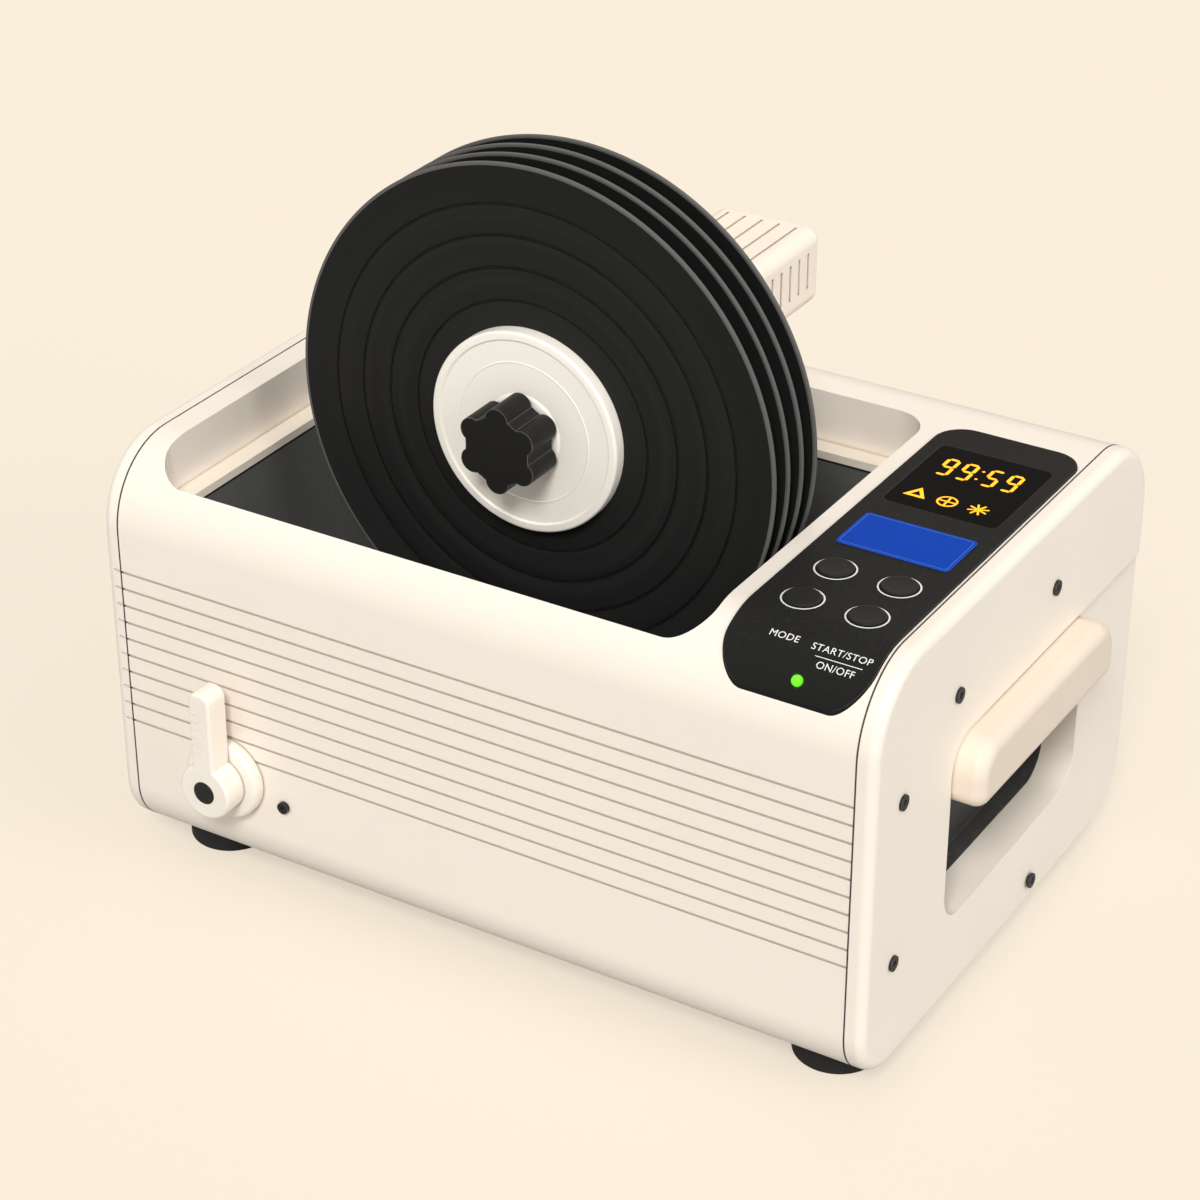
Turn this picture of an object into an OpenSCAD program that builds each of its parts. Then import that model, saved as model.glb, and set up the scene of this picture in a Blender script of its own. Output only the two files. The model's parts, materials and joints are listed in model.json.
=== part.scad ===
// Ultrasonic record cleaning machine: a tank in a rounded housing, with four records on a motor spindle.
// Millimetres. +X right, +Y back, +Z up, origin on the floor under the middle of the housing.

/* [Housing] */
// Depth from front face to rear face
body_d = 340; // [338:1:370]
// Height of the housing without its feet
body_h = 250; // [246:1:280]
// Radius of the upper long edges
top_r = 48; // [44:1:52]
// Radius of the lower long edges
low_r = 34; // [28:1:40]
// Wall thickness of the housing
wall = 3; // [2.5:0.1:3.6]
// Thickness of an end cap
cap_t = 11; // [9:0.5:13]
// Radius of the end cap's outer edge
cap_edge = 6; // [3:0.5:8]
// Depth by which the lower rear of an end cap falls back
cap_recess = 3; // [1:0.5:4]

/* [Front grooves] */
// Number of grooves along the front
groove_count = 10; // [6:1:11]
// Distance between grooves
groove_pitch = 10.9; // [8:0.1:11]
// Width of a groove
groove_w = 1.5; // [1:0.1:2.5]
// Depth of a groove
groove_deep = 1; // [0.5:0.1:1.4]
// Height of the lowest groove above the housing's underside
groove_low = 79; // [60:1:84]

/* [Feet] */
// Height of the feet
foot_h = 16; // [12:1:24]
// Radius of a foot
foot_r = 25; // [20:1:28]
// Distance from the end of the machine to a foot's centre
foot_in_x = 39; // [34:1:60]
// Distance from the front or rear face to a foot's centre
foot_in_y = 50; // [44:1:70]

/* [Bath opening] */
// Distance from the front face to the opening
open_front = 12; // [12:1:18]
// Corner radius of the opening
open_r = 22; // [18:1:30]
// Distance from the left end to the opening
open_left = 27; // [26:1:30]
// Distance from the rear face to the opening
open_rear = 60; // [58:1:66]
// Width of the deck between the opening and the control panel
open_right = 11; // [9:1:16]
// Drop from the deck to the ledge
well_deep = 32; // [28:1:36]
// Thickness of the ledge
ledge_t = 5; // [4:0.5:7]
// Width of the ledge that shows inside the opening
ledge_w = 12; // [11:0.5:13]

/* [Tank] */
// Space between the chassis and what hangs under the tank
tank_clear = 13.5; // [8:0.5:20]
// Sheet thickness of the tank
tank_wall = 1.5; // [1:0.1:2]
// Corner radius of the tank in plan
tank_r = 14; // [12:1:20]
// Thickness of the gasket and of the tank's flange
gasket_t = 1.5; // [1:0.1:2]

/* [Records] */
// Diameter of a record
record_d = 301.6; // [296:0.1:302]
// Thickness of a record
record_t = 2.4; // [1.6:0.1:2.6]
// Number of records on the spindle
record_count = 4; // [2:1:4]
// Distance between records
record_pitch = 15; // [12:0.5:15]
// Radius of the spindle rod
rod_r = 3.5; // [3.2:0.1:3.6]
// Height of the spindle above the deck
spindle_up = 30; // [28:1:34]
// Space in the opening left of the records
record_left = 44.9; // [36:0.1:60]
// Space in the opening right of the records
record_right = 5.5; // [4:0.1:9]
// Distance from the housing's middle plane forward to the front record
front_record = 68; // [64:1:72]
// Radius of the label guards
guard_r = 59; // [52:1:60]
// Thickness of the front label guard
guard_t = 8; // [6:0.5:10]
// Radius of the spacers between records
spacer_r = 50; // [44:1:54]
// Radius out to the lobes of the clamp knob
knob_r = 25.25; // [23:0.25:28]
// Thickness of the clamp knob
knob_t = 24; // [20:1:27]
// Number of lobes on the clamp knob
knob_lobes = 6; // [5:1:7]

/* [Motor box] */
// Width of the motor box
box_w = 69; // [64:1:76]
// Height of the motor box
box_h = 49; // [46:1:56]
// Length of the motor box
box_l = 86; // [80:1:92]
// Corner radius of the motor box
box_r = 9; // [7:0.5:12]
// Front of the motor box behind the housing's middle plane
box_front = 101; // [99:1:104]
// Wall thickness of the motor box
box_wall = 2.5; // [2:0.1:3]
// Distance from the underside of the motor box to the spindle
box_drop = 15; // [14.5:0.5:16]
// Radius of the gear motor
motor_r = 12; // [10:0.5:12]
// Length of the gear motor
motor_l = 58; // [48:1:64]

/* [Control panel] */
// Width of the control panel
panel_w = 85; // [83:1:86]
// Length of the control panel in plan
panel_l = 272; // [268:1:274]
// Corner radius of the control panel
panel_r = 18; // [12:1:22]
// Distance from the right end to the panel
panel_right = 13; // [12.5:0.5:13.5]
// Distance from the rear face to the panel
panel_rear = 63; // [61:1:66]
// Height by which the panel stands proud of the housing
panel_up = 1; // [0.6:0.1:1.4]
// Depth by which the panel is let into the housing
panel_in = 1.2; // [0.8:0.1:1.5]
// Length of the display window across the panel
window_w = 68; // [62:1:70]
// Depth of the display window
window_d = 76; // [70:1:80]
// Length of the blue label plate
label_w = 66; // [60:1:70]
// Depth of the blue label plate
label_d = 38; // [34:1:40]
// Radius of a button
button_r = 10; // [8:0.5:11]
// Height of a button above the panel
button_up = 1.4; // [1.3:0.1:2]
// Travel of a button
button_travel = 1.2; // [0.8:0.1:1.2]
// Angle of the lamp down the folded front edge
lamp_deg = 50; // [44:1:56]

/* [End windows and grips] */
// Length of a hand window
win_w = 173; // [160:1:176]
// Height of a hand window
win_h = 116; // [108:1:118]
// Corner radius of a hand window
win_r = 20; // [16:1:24]
// Height of the window's lower edge above the housing's underside
win_low = 52; // [50:1:54]
// Place of the window behind the housing's middle plane
win_back = 8.5; // [6:0.5:11]
// Depth of the window's turned-in rim from the cap's outer face
rim_deep = 22; // [20:0.5:23]
// Depth of the hand pocket from the cap's outer face
pocket_deep = 35; // [32:0.5:35.5]
// Height of a grip
grip_h = 38; // [34:1:44]
// Distance that a grip stands out from its cap
grip_out = 18; // [14:1:24]
// Radius of a grip's outer edge
grip_edge = 8; // [5:0.5:9]
// Radius of a cap screw's head
screw_head_r = 4.5; // [3.5:0.1:5]

/* [Drain valve] */
// Distance from the left end to the valve
valve_in = 79; // [77:1:83]
// Height of the valve above the housing's underside
valve_up = 64; // [62:1:66]
// Radius of the boss behind the lever
boss_r = 25; // [22:1:27]
// Thickness of the boss
boss_t = 8; // [6:1:10]
// Radius of the lever's hub
hub_r = 17; // [15:1:19]
// Thickness of the lever
lever_t = 15; // [13:1:17]
// Length of the lever arm from the hub's centre
lever_l = 65; // [55:1:70]
// Width of the lever arm
lever_w = 14.5; // [12:0.5:16]
// Outer radius of the drain spout
spout_r = 8; // [7.2:0.1:9]
// Length of the drain spout outside the cap
spout_l = 18; // [14:1:22]

/* [Hidden] */
$fn = 96;

// Named clearances
gap = 0.3;
fit = 0.1;
slip = 0.2;

// The opening takes the records, and the housing takes the opening and the panel
open_l = record_left + record_d + record_right;
open_w = body_d - open_front - open_rear;
body_l = open_left + open_l + open_right + panel_w + panel_right;

// Housing levels and ends
floor_z = foot_h;
top_z = floor_z + body_h;
end_x = body_l / 2;
front_y = -body_d / 2;
rear_y = body_d / 2;
shell_x = end_x - cap_t;
fold_y = front_y + top_r;
fold_z = top_z - top_r;
inner_z = floor_z + wall;
chassis_t = 2;
chassis_z = inner_z + chassis_t;
frame_t = 3;
frame_x = shell_x - frame_t;

// Bath
open_x = -end_x + open_left + open_l / 2;
open_y = rear_y - open_rear - open_w / 2;
ledge_z = top_z - well_deep;
bezel_out = wall + 2;
bath_l = open_l - 2 * ledge_w;
bath_w = open_w - 2 * ledge_w;
tank_top = ledge_z - ledge_t - gasket_t;
tank_screw_out = (ledge_w + bezel_out + tank_wall) / 2;

// Heater and sound transducers on the tank
heater_l = 220;
heater_h = 70;
horn_h = 25;
piezo_h = 12;
back_h = 20;
nut_h = 5;
transducer_r = 18;
transducer_step = 90;
tank_under = chassis_z + tank_clear + nut_h + back_h + piezo_h + horn_h;
tank_floor = tank_under + tank_wall;
horn_z = tank_under - horn_h;
piezo_z = horn_z - piezo_h;
back_z = piezo_z - back_h;

// Spindle and records
spin_x = open_x + open_l / 2 - record_right - record_d / 2;
spin_z = top_z + spindle_up;
stack_y = -front_record - record_t / 2;
last_y = stack_y + (record_count - 1) * record_pitch + record_t;
rear_guard_t = 10;
collar_r = 9;
collar_t = 5;
washer_t = 1.5;
washer_r = 14;
washer_y = stack_y - guard_t - gap - washer_t;
knob_y = washer_y - gap - knob_t;
knob_travel = 2.5;
rod_front = knob_y + 5;

// Motor box
box_z = spin_z - box_drop;
box_x = spin_x + 5.8;
box_back = box_front + box_l;
cover_t = 2.5;
bracket_t = 2.7;
bracket_w = 56;
bracket_front = rear_y - open_rear + wall + 1;
bracket_back = rear_y - 8;
peg_r = 4;
peg_x = 19;
peg_y = bracket_front + 10;

// Control panel
panel_x1 = end_x - panel_right;
panel_x = panel_x1 - panel_w / 2;
panel_y1 = rear_y - panel_rear;
panel_y = panel_y1 - panel_l / 2;
panel_z = top_z + panel_up;
window_r = 5;
window_up = 0.2;
window_y = panel_y1 - 25 - window_d / 2;
label_y = window_y - window_d / 2 - 18 - label_d / 2;
label_t = 0.6;
button_x = 18.5;
button_y1 = label_y - label_d / 2 - 26;
button_y2 = button_y1 - 36;
button_flange = 2;
button_rise = 1.7;
switch_z = top_z - wall - gap - button_rise - button_travel - gap;
board_t = 1.6;
switch_h = 4.5;
board_z = switch_z - switch_h - board_t;
board_w = 78;
board_y0 = button_y2 - 12;
board_y1 = panel_y1 - 12;
lamp_r = 3;
lamp_x = panel_x + 4.5;

// End windows
win_z = floor_z + win_low;
win_top = win_z + win_h;
pocket_x = end_x - pocket_deep;
rim_x = end_x - rim_deep;
pocket_t = 2;
sleeve = wall + gap + pocket_t;
grip_x = rim_x + 6;

// Cap screws as height over the underside and distance behind the middle plane
cap_screws = [[44, 204], [-76, 198], [-137, 166], [-139, 67], [40, 14]];
m5_r = 2.5;
m4_r = 2;
m4_head_r = 3.6;
m4_head_t = 2.4;

// Drain
valve_x = -end_x + valve_in;
valve_z = floor_z + valve_up;
bracket_screw_x = valve_x + 39;
bracket_screw_z = valve_z - 9;
plate_l = 74;
plate_h = 40;
plate_t = 2.5;
pipe_y = open_y - bath_w / 2 + 24;
pipe_bore = 5;
stub_r = 6.9;
hose_in = 7;
hose_out = 9.5;
hose_bend = 17;
valve_half = 14;
valve_r = 12;
ball_r = 9;
stem_r = 4;
stub_l = 6;
elbow_x = valve_x + 57;
lever_y1 = front_y - boss_t - gap;
lever_y0 = lever_y1 - lever_t;
plug_r = 7;
plug_t = 3;
spout_z = valve_z - 2 * hose_bend;
bend_x = valve_x - valve_half - stub_l - 0.5;
spout_in = bend_x - 2 * hose_bend;

// Rear panel
inlet_x = end_x - 59;
inlet_z = floor_z + 52;
inlet_w = 28;
inlet_h = 20;
inlet_deep = 24;
inlet_screw = 20;
fan_x = end_x - 59;
fan_z = inlet_z + 82;
fan_size = 60;
fan_t = 20;
fan_r = 27.5;
fan_hole = 25;
fan_y1 = rear_y - wall;
fan_y0 = fan_y1 - fan_t;

// Generator and the vents below it
vent_l = 40;
vent_w = 3;
vent_step = 12;
gen_x = end_x - 62;
gen_y = 25;
gen_z = chassis_z + 10;
gen_w = 80;
gen_d = 150;
post_r = 3;
sink_d = 60;
fin_h = 19;
fin_t = 2;
fin_step = 6;

cream = "#fbefe1";
dark = "#3b3b3a";
black = "#262626";
steel = "#b9bbbd";
brass = "#b99a52";

// Quarter disc in the first quadrant
module quarter(r) {
    intersection() {
        circle(r);
        square(r);
    }
}

// Rounded rectangle on its lower edge, with its own upper and lower corner radii
module profile(w, h, r_up, r_low) {
    for (m = [0, 1]) {
        mirror([m, 0]) {
            translate([w / 2 - r_up, h - r_up]) quarter(r_up);
            translate([w / 2 - r_low, r_low]) mirror([0, 1]) quarter(r_low);
            translate([0, r_low]) square([w / 2, h - r_up - r_low]);
            translate([0, h - r_up]) square([w / 2 - r_up, r_up]);
            square([w / 2 - r_low, r_low]);
        }
    }
}

// Rounded rectangle about its centre
module plate(w, h, r) {
    translate([0, -h / 2]) profile(w, h, r, r);
}

// Half section of a plate with a rounded rim
module rim(r, t, edge) {
    square([r, t - edge]);
    translate([0, t - edge]) square([r - edge, edge]);
    translate([r - edge, t - edge]) quarter(edge);
}

// Rounded plate whose far rim is rounded, built from corner sweeps and straight runs
module slab(w, h, r_up, r_low, t, edge) {
    for (m = [0, 1]) {
        mirror([m, 0, 0]) {
            translate([w / 2 - r_up, h - r_up, 0]) rotate_extrude(angle = 90) rim(r_up, t, edge);
            translate([w / 2 - r_low, r_low, 0]) mirror([0, 1, 0]) rotate_extrude(angle = 90)
                rim(r_low, t, edge);
            translate([w / 2 - r_low, h - r_up, 0]) rotate([90, 0, 0])
                linear_extrude(h - r_up - r_low) rim(r_low, t, edge);
        }
    }
    translate([-(w / 2 - r_up), h - r_up, 0]) rotate([90, 0, 90])
        linear_extrude(w - 2 * r_up) rim(r_up, t, edge);
    translate([-(w / 2 - r_low), r_low, 0]) mirror([0, 1, 0]) rotate([90, 0, 90])
        linear_extrude(w - 2 * r_low) rim(r_low, t, edge);
    translate([-(w / 2 - r_low), r_low, 0]) cube([w - 2 * r_low, h - r_up - r_low, t]);
}

// A flat shape in Y and Z, extruded along X from x0
module along_x(x0, length) {
    translate([x0, 0, 0]) rotate([90, 0, 90]) linear_extrude(length) children();
}

// A flat shape in X and Z, extruded along Y from y0
module along_y(y0, length) {
    translate([0, y0 + length, 0]) rotate([90, 0, 0]) linear_extrude(length) children();
}

// A rod along Y about (x, z), from y0 to y1
module rod_y(x, z, r, y0, y1) {
    translate([x, y1, z]) rotate([90, 0, 0]) cylinder(r = r, h = y1 - y0);
}

// A rod along X about (y, z), from x0 to x1
module rod_x(y, z, r, x0, x1) {
    translate([x0, y, z]) rotate([0, 90, 0]) cylinder(r = r, h = x1 - x0);
}

module on_left() {
    mirror([1, 0, 0]) children();
}

// The housing's outline moved out by k, from x0 along X
module hull_prism(x0, length, k) {
    along_x(x0, length) translate([0, floor_z - k])
        profile(body_d + 2 * k, body_h + 2 * k, top_r + k, low_r + k);
}

// Upright prism over the bath opening, grown by k
module bath_prism(z0, z1, k) {
    translate([open_x, open_y, z0]) linear_extrude(z1 - z0)
        plate(open_l + 2 * k, open_w + 2 * k, open_r + k);
}

// Upright prism over the tank's plan, grown by k
module tank_prism(z0, z1, k) {
    translate([open_x, open_y, z0]) linear_extrude(z1 - z0)
        plate(bath_l + 2 * k, bath_w + 2 * k, tank_r + k);
}

// Upright prism over the control panel's plan, grown by k
module panel_prism(k) {
    translate([panel_x, panel_y, fold_z]) linear_extrude(top_r + 10)
        plate(panel_w + 2 * k, panel_l + 2 * k, panel_r + k);
}

// Hand window outline grown by k, from x0 along X
module window_prism(x0, length, k) {
    along_x(x0, length) translate([win_back, win_z - k])
        profile(win_w + 2 * k, win_h + 2 * k, win_r + k, win_r + k);
}

// Places children at each button
module at_buttons() {
    for (x = [-button_x, button_x], y = [button_y1, button_y2])
        translate([panel_x + x, y, 0]) children();
}

// Places children on the fold at the lamp, with the fold's normal as Z
module at_lamp() {
    translate([lamp_x, fold_y, fold_z]) rotate([lamp_deg, 0, 0]) children();
}

// Places children at the feet
module at_feet() {
    for (x = [-1, 1], y = [-1, 1])
        translate([x * (end_x - foot_in_x), y * (rear_y - foot_in_y), 0]) children();
}

// Pan head screw pointing along +Z, with its head below the origin
module screw(r, head_r, head_t, length) {
    difference() {
        union() {
            translate([0, 0, -head_t]) cylinder(r = head_r, h = head_t);
            cylinder(r = r, h = length);
        }
        translate([0, 0, -head_t - 1]) cylinder(r = r * 0.85, h = head_t * 0.6 + 1, $fn = 6);
    }
}

module m4(length) {
    screw(m4_r, m4_head_r, m4_head_t, length);
}

// Places children at the screws under the tank's flange
module at_tank_screws() {
    for (m = [-1, 1]) {
        for (x = [-120, -40, 40, 120])
            translate([open_x + x, open_y + m * (bath_w / 2 + tank_screw_out), 0]) children();
        for (y = [-60, 60])
            translate([open_x + m * (bath_l / 2 + tank_screw_out), open_y + y, 0]) children();
    }
}

module at_cap_screws() {
    for (p = cap_screws) translate([0, p[0], floor_z + p[1]]) children();
}

module at_inlet_screws() {
    for (m = [-1, 1]) translate([inlet_x + m * inlet_screw, 0, inlet_z]) children();
}

module at_fan_screws() {
    for (x = [-fan_hole, fan_hole], z = [-fan_hole, fan_hole])
        translate([fan_x + x, 0, fan_z + z]) children();
}

module grooves(x0, length) {
    for (i = [0:groove_count - 1])
        translate([x0, front_y - 1, floor_z + groove_low + i * groove_pitch - groove_w / 2])
            cube([length, 1 + groove_deep, groove_w]);
}

// Vents in the underside, below the generator
module floor_vents(z0, h) {
    for (i = [-4:4])
        translate([gen_x - vent_l / 2, gen_y + i * vent_step - vent_w / 2, z0]) cube([vent_l, vent_w, h]);
}

module housing_shell() {
    color(cream) difference() {
        hull_prism(-shell_x, 2 * shell_x, 0);
        difference() {
            hull_prism(-shell_x - 1, 2 * shell_x + 2, -wall);
            difference() {
                bath_prism(ledge_z, top_z + 1, wall);
                bath_prism(ledge_z - 1, top_z + 2, 0);
            }
        }
        bath_prism(ledge_z, top_z + 1, 0);
        grooves(-shell_x - 1, 2 * shell_x + 2);
        intersection() {
            difference() {
                hull_prism(panel_x1 - panel_w - 5, panel_w + 7, 5);
                hull_prism(panel_x1 - panel_w - 6, panel_w + 9, -panel_in);
            }
            panel_prism(gap);
        }
        at_buttons() translate([0, 0, top_z - wall - 2]) cylinder(r = button_r + gap, h = wall + 4);
        translate([panel_x, window_y, top_z - wall - 2]) linear_extrude(wall + 4)
            plate(window_w - 12, window_d - 14, 3);
        at_lamp() translate([0, 0, top_r - wall - 4]) cylinder(r = lamp_r + slip, h = wall + 8);
        rod_y(valve_x, valve_z, stem_r + gap, front_y - 1, front_y + wall + 1);
        rod_y(bracket_screw_x, bracket_screw_z, m4_r + fit, front_y - 1, front_y + wall + 1);
        translate([inlet_x - inlet_w / 2 - slip, rear_y - wall - 1, inlet_z - inlet_h / 2 - slip])
            cube([inlet_w + 2 * slip, wall + 2, inlet_h + 2 * slip]);
        at_inlet_screws() rod_y(0, 0, m4_r + fit, rear_y - wall - 1, rear_y + 1);
        at_fan_screws() rod_y(0, 0, m4_r + fit, rear_y - wall - 1, rear_y + 1);
        for (i = [-3:3])
            translate([fan_x - 20, rear_y - wall - 1, fan_z + i * 6 - 1.25]) cube([40, wall + 2, 2.5]);
        for (m = [-1, 1])
            translate([box_x + m * peg_x, peg_y, top_z - 12]) cylinder(r = peg_r + gap, h = 13);
        floor_vents(floor_z - 1, wall + 2);
        at_feet() translate([0, 0, floor_z - 1]) cylinder(r = m5_r + fit, h = wall + 2);
    }
}

module chassis_plate() {
    color(steel) difference() {
        translate([-frame_x + gap, front_y + low_r + 4, inner_z])
            cube([2 * frame_x - 2 * gap, body_d - 2 * low_r - 8, chassis_t]);
        floor_vents(inner_z - 1, chassis_t + 2);
        at_feet() translate([0, 0, inner_z - 1]) cylinder(r = m5_r + fit, h = chassis_t + 2);
    }
}

module end_frame() {
    difference() {
        hull_prism(frame_x, frame_t, -wall - slip);
        window_prism(frame_x - 1, frame_t + 2, sleeve + gap);
        at_cap_screws() rod_x(0, 0, m5_r + fit, frame_x - 1, shell_x + 1);
    }
}

module left_end_frame() {
    color(steel) difference() {
        on_left() end_frame();
        rod_x(pipe_y, spout_z, spout_r + 1 + slip, -shell_x - 1, -frame_x + 1);
    }
}

module right_end_frame() {
    color(steel) end_frame();
}

module end_cap() {
    difference() {
        union() {
            translate([shell_x, 0, floor_z]) rotate([90, 0, 90])
                slab(body_d, body_h, top_r, low_r, cap_t, cap_edge);
            window_prism(rim_x, rim_deep - 1, wall);
        }
        window_prism(rim_x - 1, rim_deep + 2, 0);
        at_cap_screws() rod_x(0, 0, m5_r + fit, shell_x - 1, end_x + 1);
        translate([0, 0, floor_z - 1]) linear_extrude(win_low + win_h + 1.5)
            polygon([[end_x, -50], [end_x + 2, -50], [end_x + 2, rear_y + 1],
                [end_x - cap_recess, rear_y + 1]]);
    }
}

module left_end_cap() {
    color(cream) difference() {
        on_left() end_cap();
        rod_x(pipe_y, spout_z, spout_r + 1 + slip, -end_x - 1, -shell_x + 1);
        grooves(-end_x + cap_edge, cap_t);
    }
}

module right_end_cap() {
    color(cream) end_cap();
}

// Cap screws stand just proud of the caps, and foot screws sit in the feet
module m5_screws() {
    color(black) {
        at_cap_screws() {
            translate([end_x, 0, 0]) rotate([0, -90, 0]) screw(m5_r, screw_head_r, 1.5, cap_t + frame_t);
            translate([-end_x, 0, 0]) rotate([0, 90, 0]) screw(m5_r, screw_head_r, 1.5, cap_t + frame_t);
        }
        at_feet() translate([0, 0, foot_h - 6]) screw(m5_r, 4.5, 3, 6 + wall + chassis_t);
    }
}

module m4_screws() {
    color(black) {
        at_tank_screws() translate([0, 0, tank_top - gasket_t]) m4(gasket_t * 2 + 3);
        translate([bracket_screw_x, front_y, bracket_screw_z]) rotate([-90, 0, 0]) m4(wall + 3);
        at_inlet_screws() translate([0, rear_y + 3, 0]) rotate([90, 0, 0]) m4(3 + wall + 2);
        at_fan_screws() translate([0, rear_y, 0]) rotate([90, 0, 0]) m4(wall + 8);
    }
}

module hand_pocket() {
    difference() {
        window_prism(pocket_x, rim_x + 4 - pocket_x, sleeve);
        window_prism(pocket_x + pocket_t, rim_x - pocket_x, 0);
        window_prism(rim_x, 5, wall + gap);
    }
}

module left_hand_pocket() {
    color(dark) on_left() hand_pocket();
}

module right_hand_pocket() {
    color(dark) hand_pocket();
}

// The grip fills the top of the window and stands out with a rounded rim
module grip() {
    translate([grip_x, win_back, win_top - grip_h]) rotate([90, 0, 90])
        slab(win_w - 2 * gap, grip_h, win_r - gap, grip_edge + 2, end_x + grip_out - grip_x, grip_edge);
}

module left_grip() {
    color(cream) on_left() grip();
}

module right_grip() {
    color(cream) grip();
}

module rubber_feet() {
    color(black) at_feet() difference() {
        rotate_extrude() {
            square([foot_r - 2, foot_h]);
            translate([foot_r - 2, 2]) square([2, foot_h - 2]);
            translate([foot_r - 2, 2]) mirror([0, 1]) quarter(2);
        }
        translate([0, 0, -1]) cylinder(r = 5.5, h = foot_h - 5);
        translate([0, 0, -1]) cylinder(r = m5_r + fit, h = foot_h + 2);
    }
}

module tank() {
    color(dark) difference() {
        union() {
            tank_prism(tank_under, tank_top, tank_wall);
            bath_prism(tank_top - gasket_t, tank_top, bezel_out);
        }
        tank_prism(tank_floor, tank_top + 1, 0);
        translate([elbow_x, pipe_y, tank_under - 1]) cylinder(r = stub_r + slip, h = tank_wall + 2);
        at_tank_screws() translate([0, 0, tank_top - gasket_t - 1])
            cylinder(r = m4_r + fit, h = gasket_t + 2);
    }
}

module tank_gasket() {
    color(black) difference() {
        bath_prism(tank_top, tank_top + gasket_t, bezel_out);
        tank_prism(tank_top - 1, tank_top + gasket_t + 1, 0);
        at_tank_screws() translate([0, 0, tank_top - 1]) cylinder(r = m4_r + fit, h = gasket_t + 2);
    }
}

module tank_bezel() {
    color(cream) difference() {
        bath_prism(ledge_z - ledge_t, ledge_z, bezel_out);
        tank_prism(ledge_z - ledge_t - 1, ledge_z + 1, 0);
        at_tank_screws() translate([0, 0, ledge_z - ledge_t - 1]) cylinder(r = m4_r + fit, h = 4.4);
    }
}

// Places children under the three sound transducers
module at_transducers() {
    for (i = [-1:1]) translate([open_x + i * transducer_step, open_y, 0]) children();
}

module transducer_horns() {
    color(steel) at_transducers() translate([0, 0, horn_z]) rotate_extrude() {
        square([transducer_r, horn_h]);
        polygon([[transducer_r, 0], [transducer_r + 1, 0], [transducer_r + 6, horn_h - 4],
            [transducer_r + 6, horn_h], [transducer_r, horn_h]]);
    }
}

module piezo_rings() {
    color("#d8d2bd") at_transducers() for (i = [0, 1]) difference() {
        translate([0, 0, piezo_z + i * piezo_h / 2]) cylinder(r = transducer_r, h = piezo_h / 2 - slip * i);
        translate([0, 0, piezo_z - 1]) cylinder(r = m5_r + gap, h = piezo_h + 2);
    }
}

module transducer_backs() {
    color(steel) at_transducers() {
        translate([0, 0, back_z]) cylinder(r = transducer_r, h = back_h);
        translate([0, 0, back_z - nut_h]) cylinder(r = 6, h = nut_h, $fn = 6);
        translate([0, 0, back_z]) cylinder(r = m5_r, h = back_h + piezo_h);
    }
}

module heater_pad() {
    color("#b5552f") translate([open_x - heater_l / 2, open_y + bath_w / 2 + tank_wall, tank_floor + 20])
        cube([heater_l, 1.5, heater_h]);
}

module drain_elbow() {
    color(brass) difference() {
        union() {
            translate([elbow_x, pipe_y, tank_floor]) cylinder(r = 13, h = 2);
            translate([elbow_x, pipe_y, valve_z]) cylinder(r = stub_r, h = tank_floor - valve_z + 1);
            translate([elbow_x, pipe_y, tank_under - 4]) cylinder(r = 13, h = 4, $fn = 6);
            translate([elbow_x, pipe_y, valve_z - 9]) cylinder(r = 9, h = tank_under - valve_z + 5);
            rod_x(pipe_y, valve_z, stub_r, elbow_x - 18, elbow_x);
        }
        translate([elbow_x, pipe_y, valve_z - 3]) cylinder(r = pipe_bore, h = tank_floor - valve_z + 10);
        rod_x(pipe_y, valve_z, pipe_bore, elbow_x - 20, elbow_x);
    }
}

// The hose from the elbow to the valve, and the one that bends down to the spout
module drain_hoses() {
    color(black) {
        difference() {
            rod_x(pipe_y, valve_z, hose_out, valve_x + valve_half, elbow_x - 9.5);
            rod_x(pipe_y, valve_z, hose_in, valve_x + valve_half - 1, elbow_x);
        }
        difference() {
            hose_shape(hose_out, 0);
            hose_shape(hose_in, 1);
        }
    }
}

module hose_shape(r, more) {
    rod_x(pipe_y, valve_z, r, bend_x, valve_x - valve_half + more);
    translate([bend_x, pipe_y, valve_z - hose_bend]) rotate([90, 0, 0]) rotate([0, 0, 90])
        rotate_extrude(angle = 90) translate([hose_bend, 0]) circle(r);
    translate([spout_in, pipe_y, spout_z + hose_bend]) rotate([90, 0, 0]) rotate([0, 0, 270])
        rotate_extrude(angle = 90) translate([hose_bend, 0]) circle(r);
    rod_x(pipe_y, spout_z, r, -frame_x + 3 - more, spout_in);
}

module drain_spout() {
    color(brass) difference() {
        union() {
            rod_x(pipe_y, spout_z, spout_r, -end_x - spout_l, -end_x);
            rod_x(pipe_y, spout_z, spout_r + 1, -end_x, -frame_x);
            rod_x(pipe_y, spout_z, 12, -frame_x, -frame_x + 3);
            rod_x(pipe_y, spout_z, stub_r, -frame_x, -frame_x + 9);
        }
        rod_x(pipe_y, spout_z, pipe_bore, -end_x - spout_l - 1, -frame_x + 10);
    }
}

module valve_bracket() {
    color(steel) difference() {
        union() {
            translate([bracket_screw_x - plate_l + 9, front_y + wall, valve_z - plate_h / 2])
                cube([plate_l, plate_t, plate_h]);
            for (x = [-valve_half + 1, valve_half - 5])
                translate([valve_x + x, front_y + wall, valve_z - 6])
                    cube([4, pipe_y - front_y - wall - 4, 12]);
        }
        rod_x(pipe_y, valve_z, valve_r, valve_x - 20, valve_x + 20);
        rod_y(valve_x, valve_z, stem_r + gap, front_y, pipe_y);
        rod_y(bracket_screw_x, bracket_screw_z, m4_r + fit, front_y, front_y + 10);
    }
}

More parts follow.
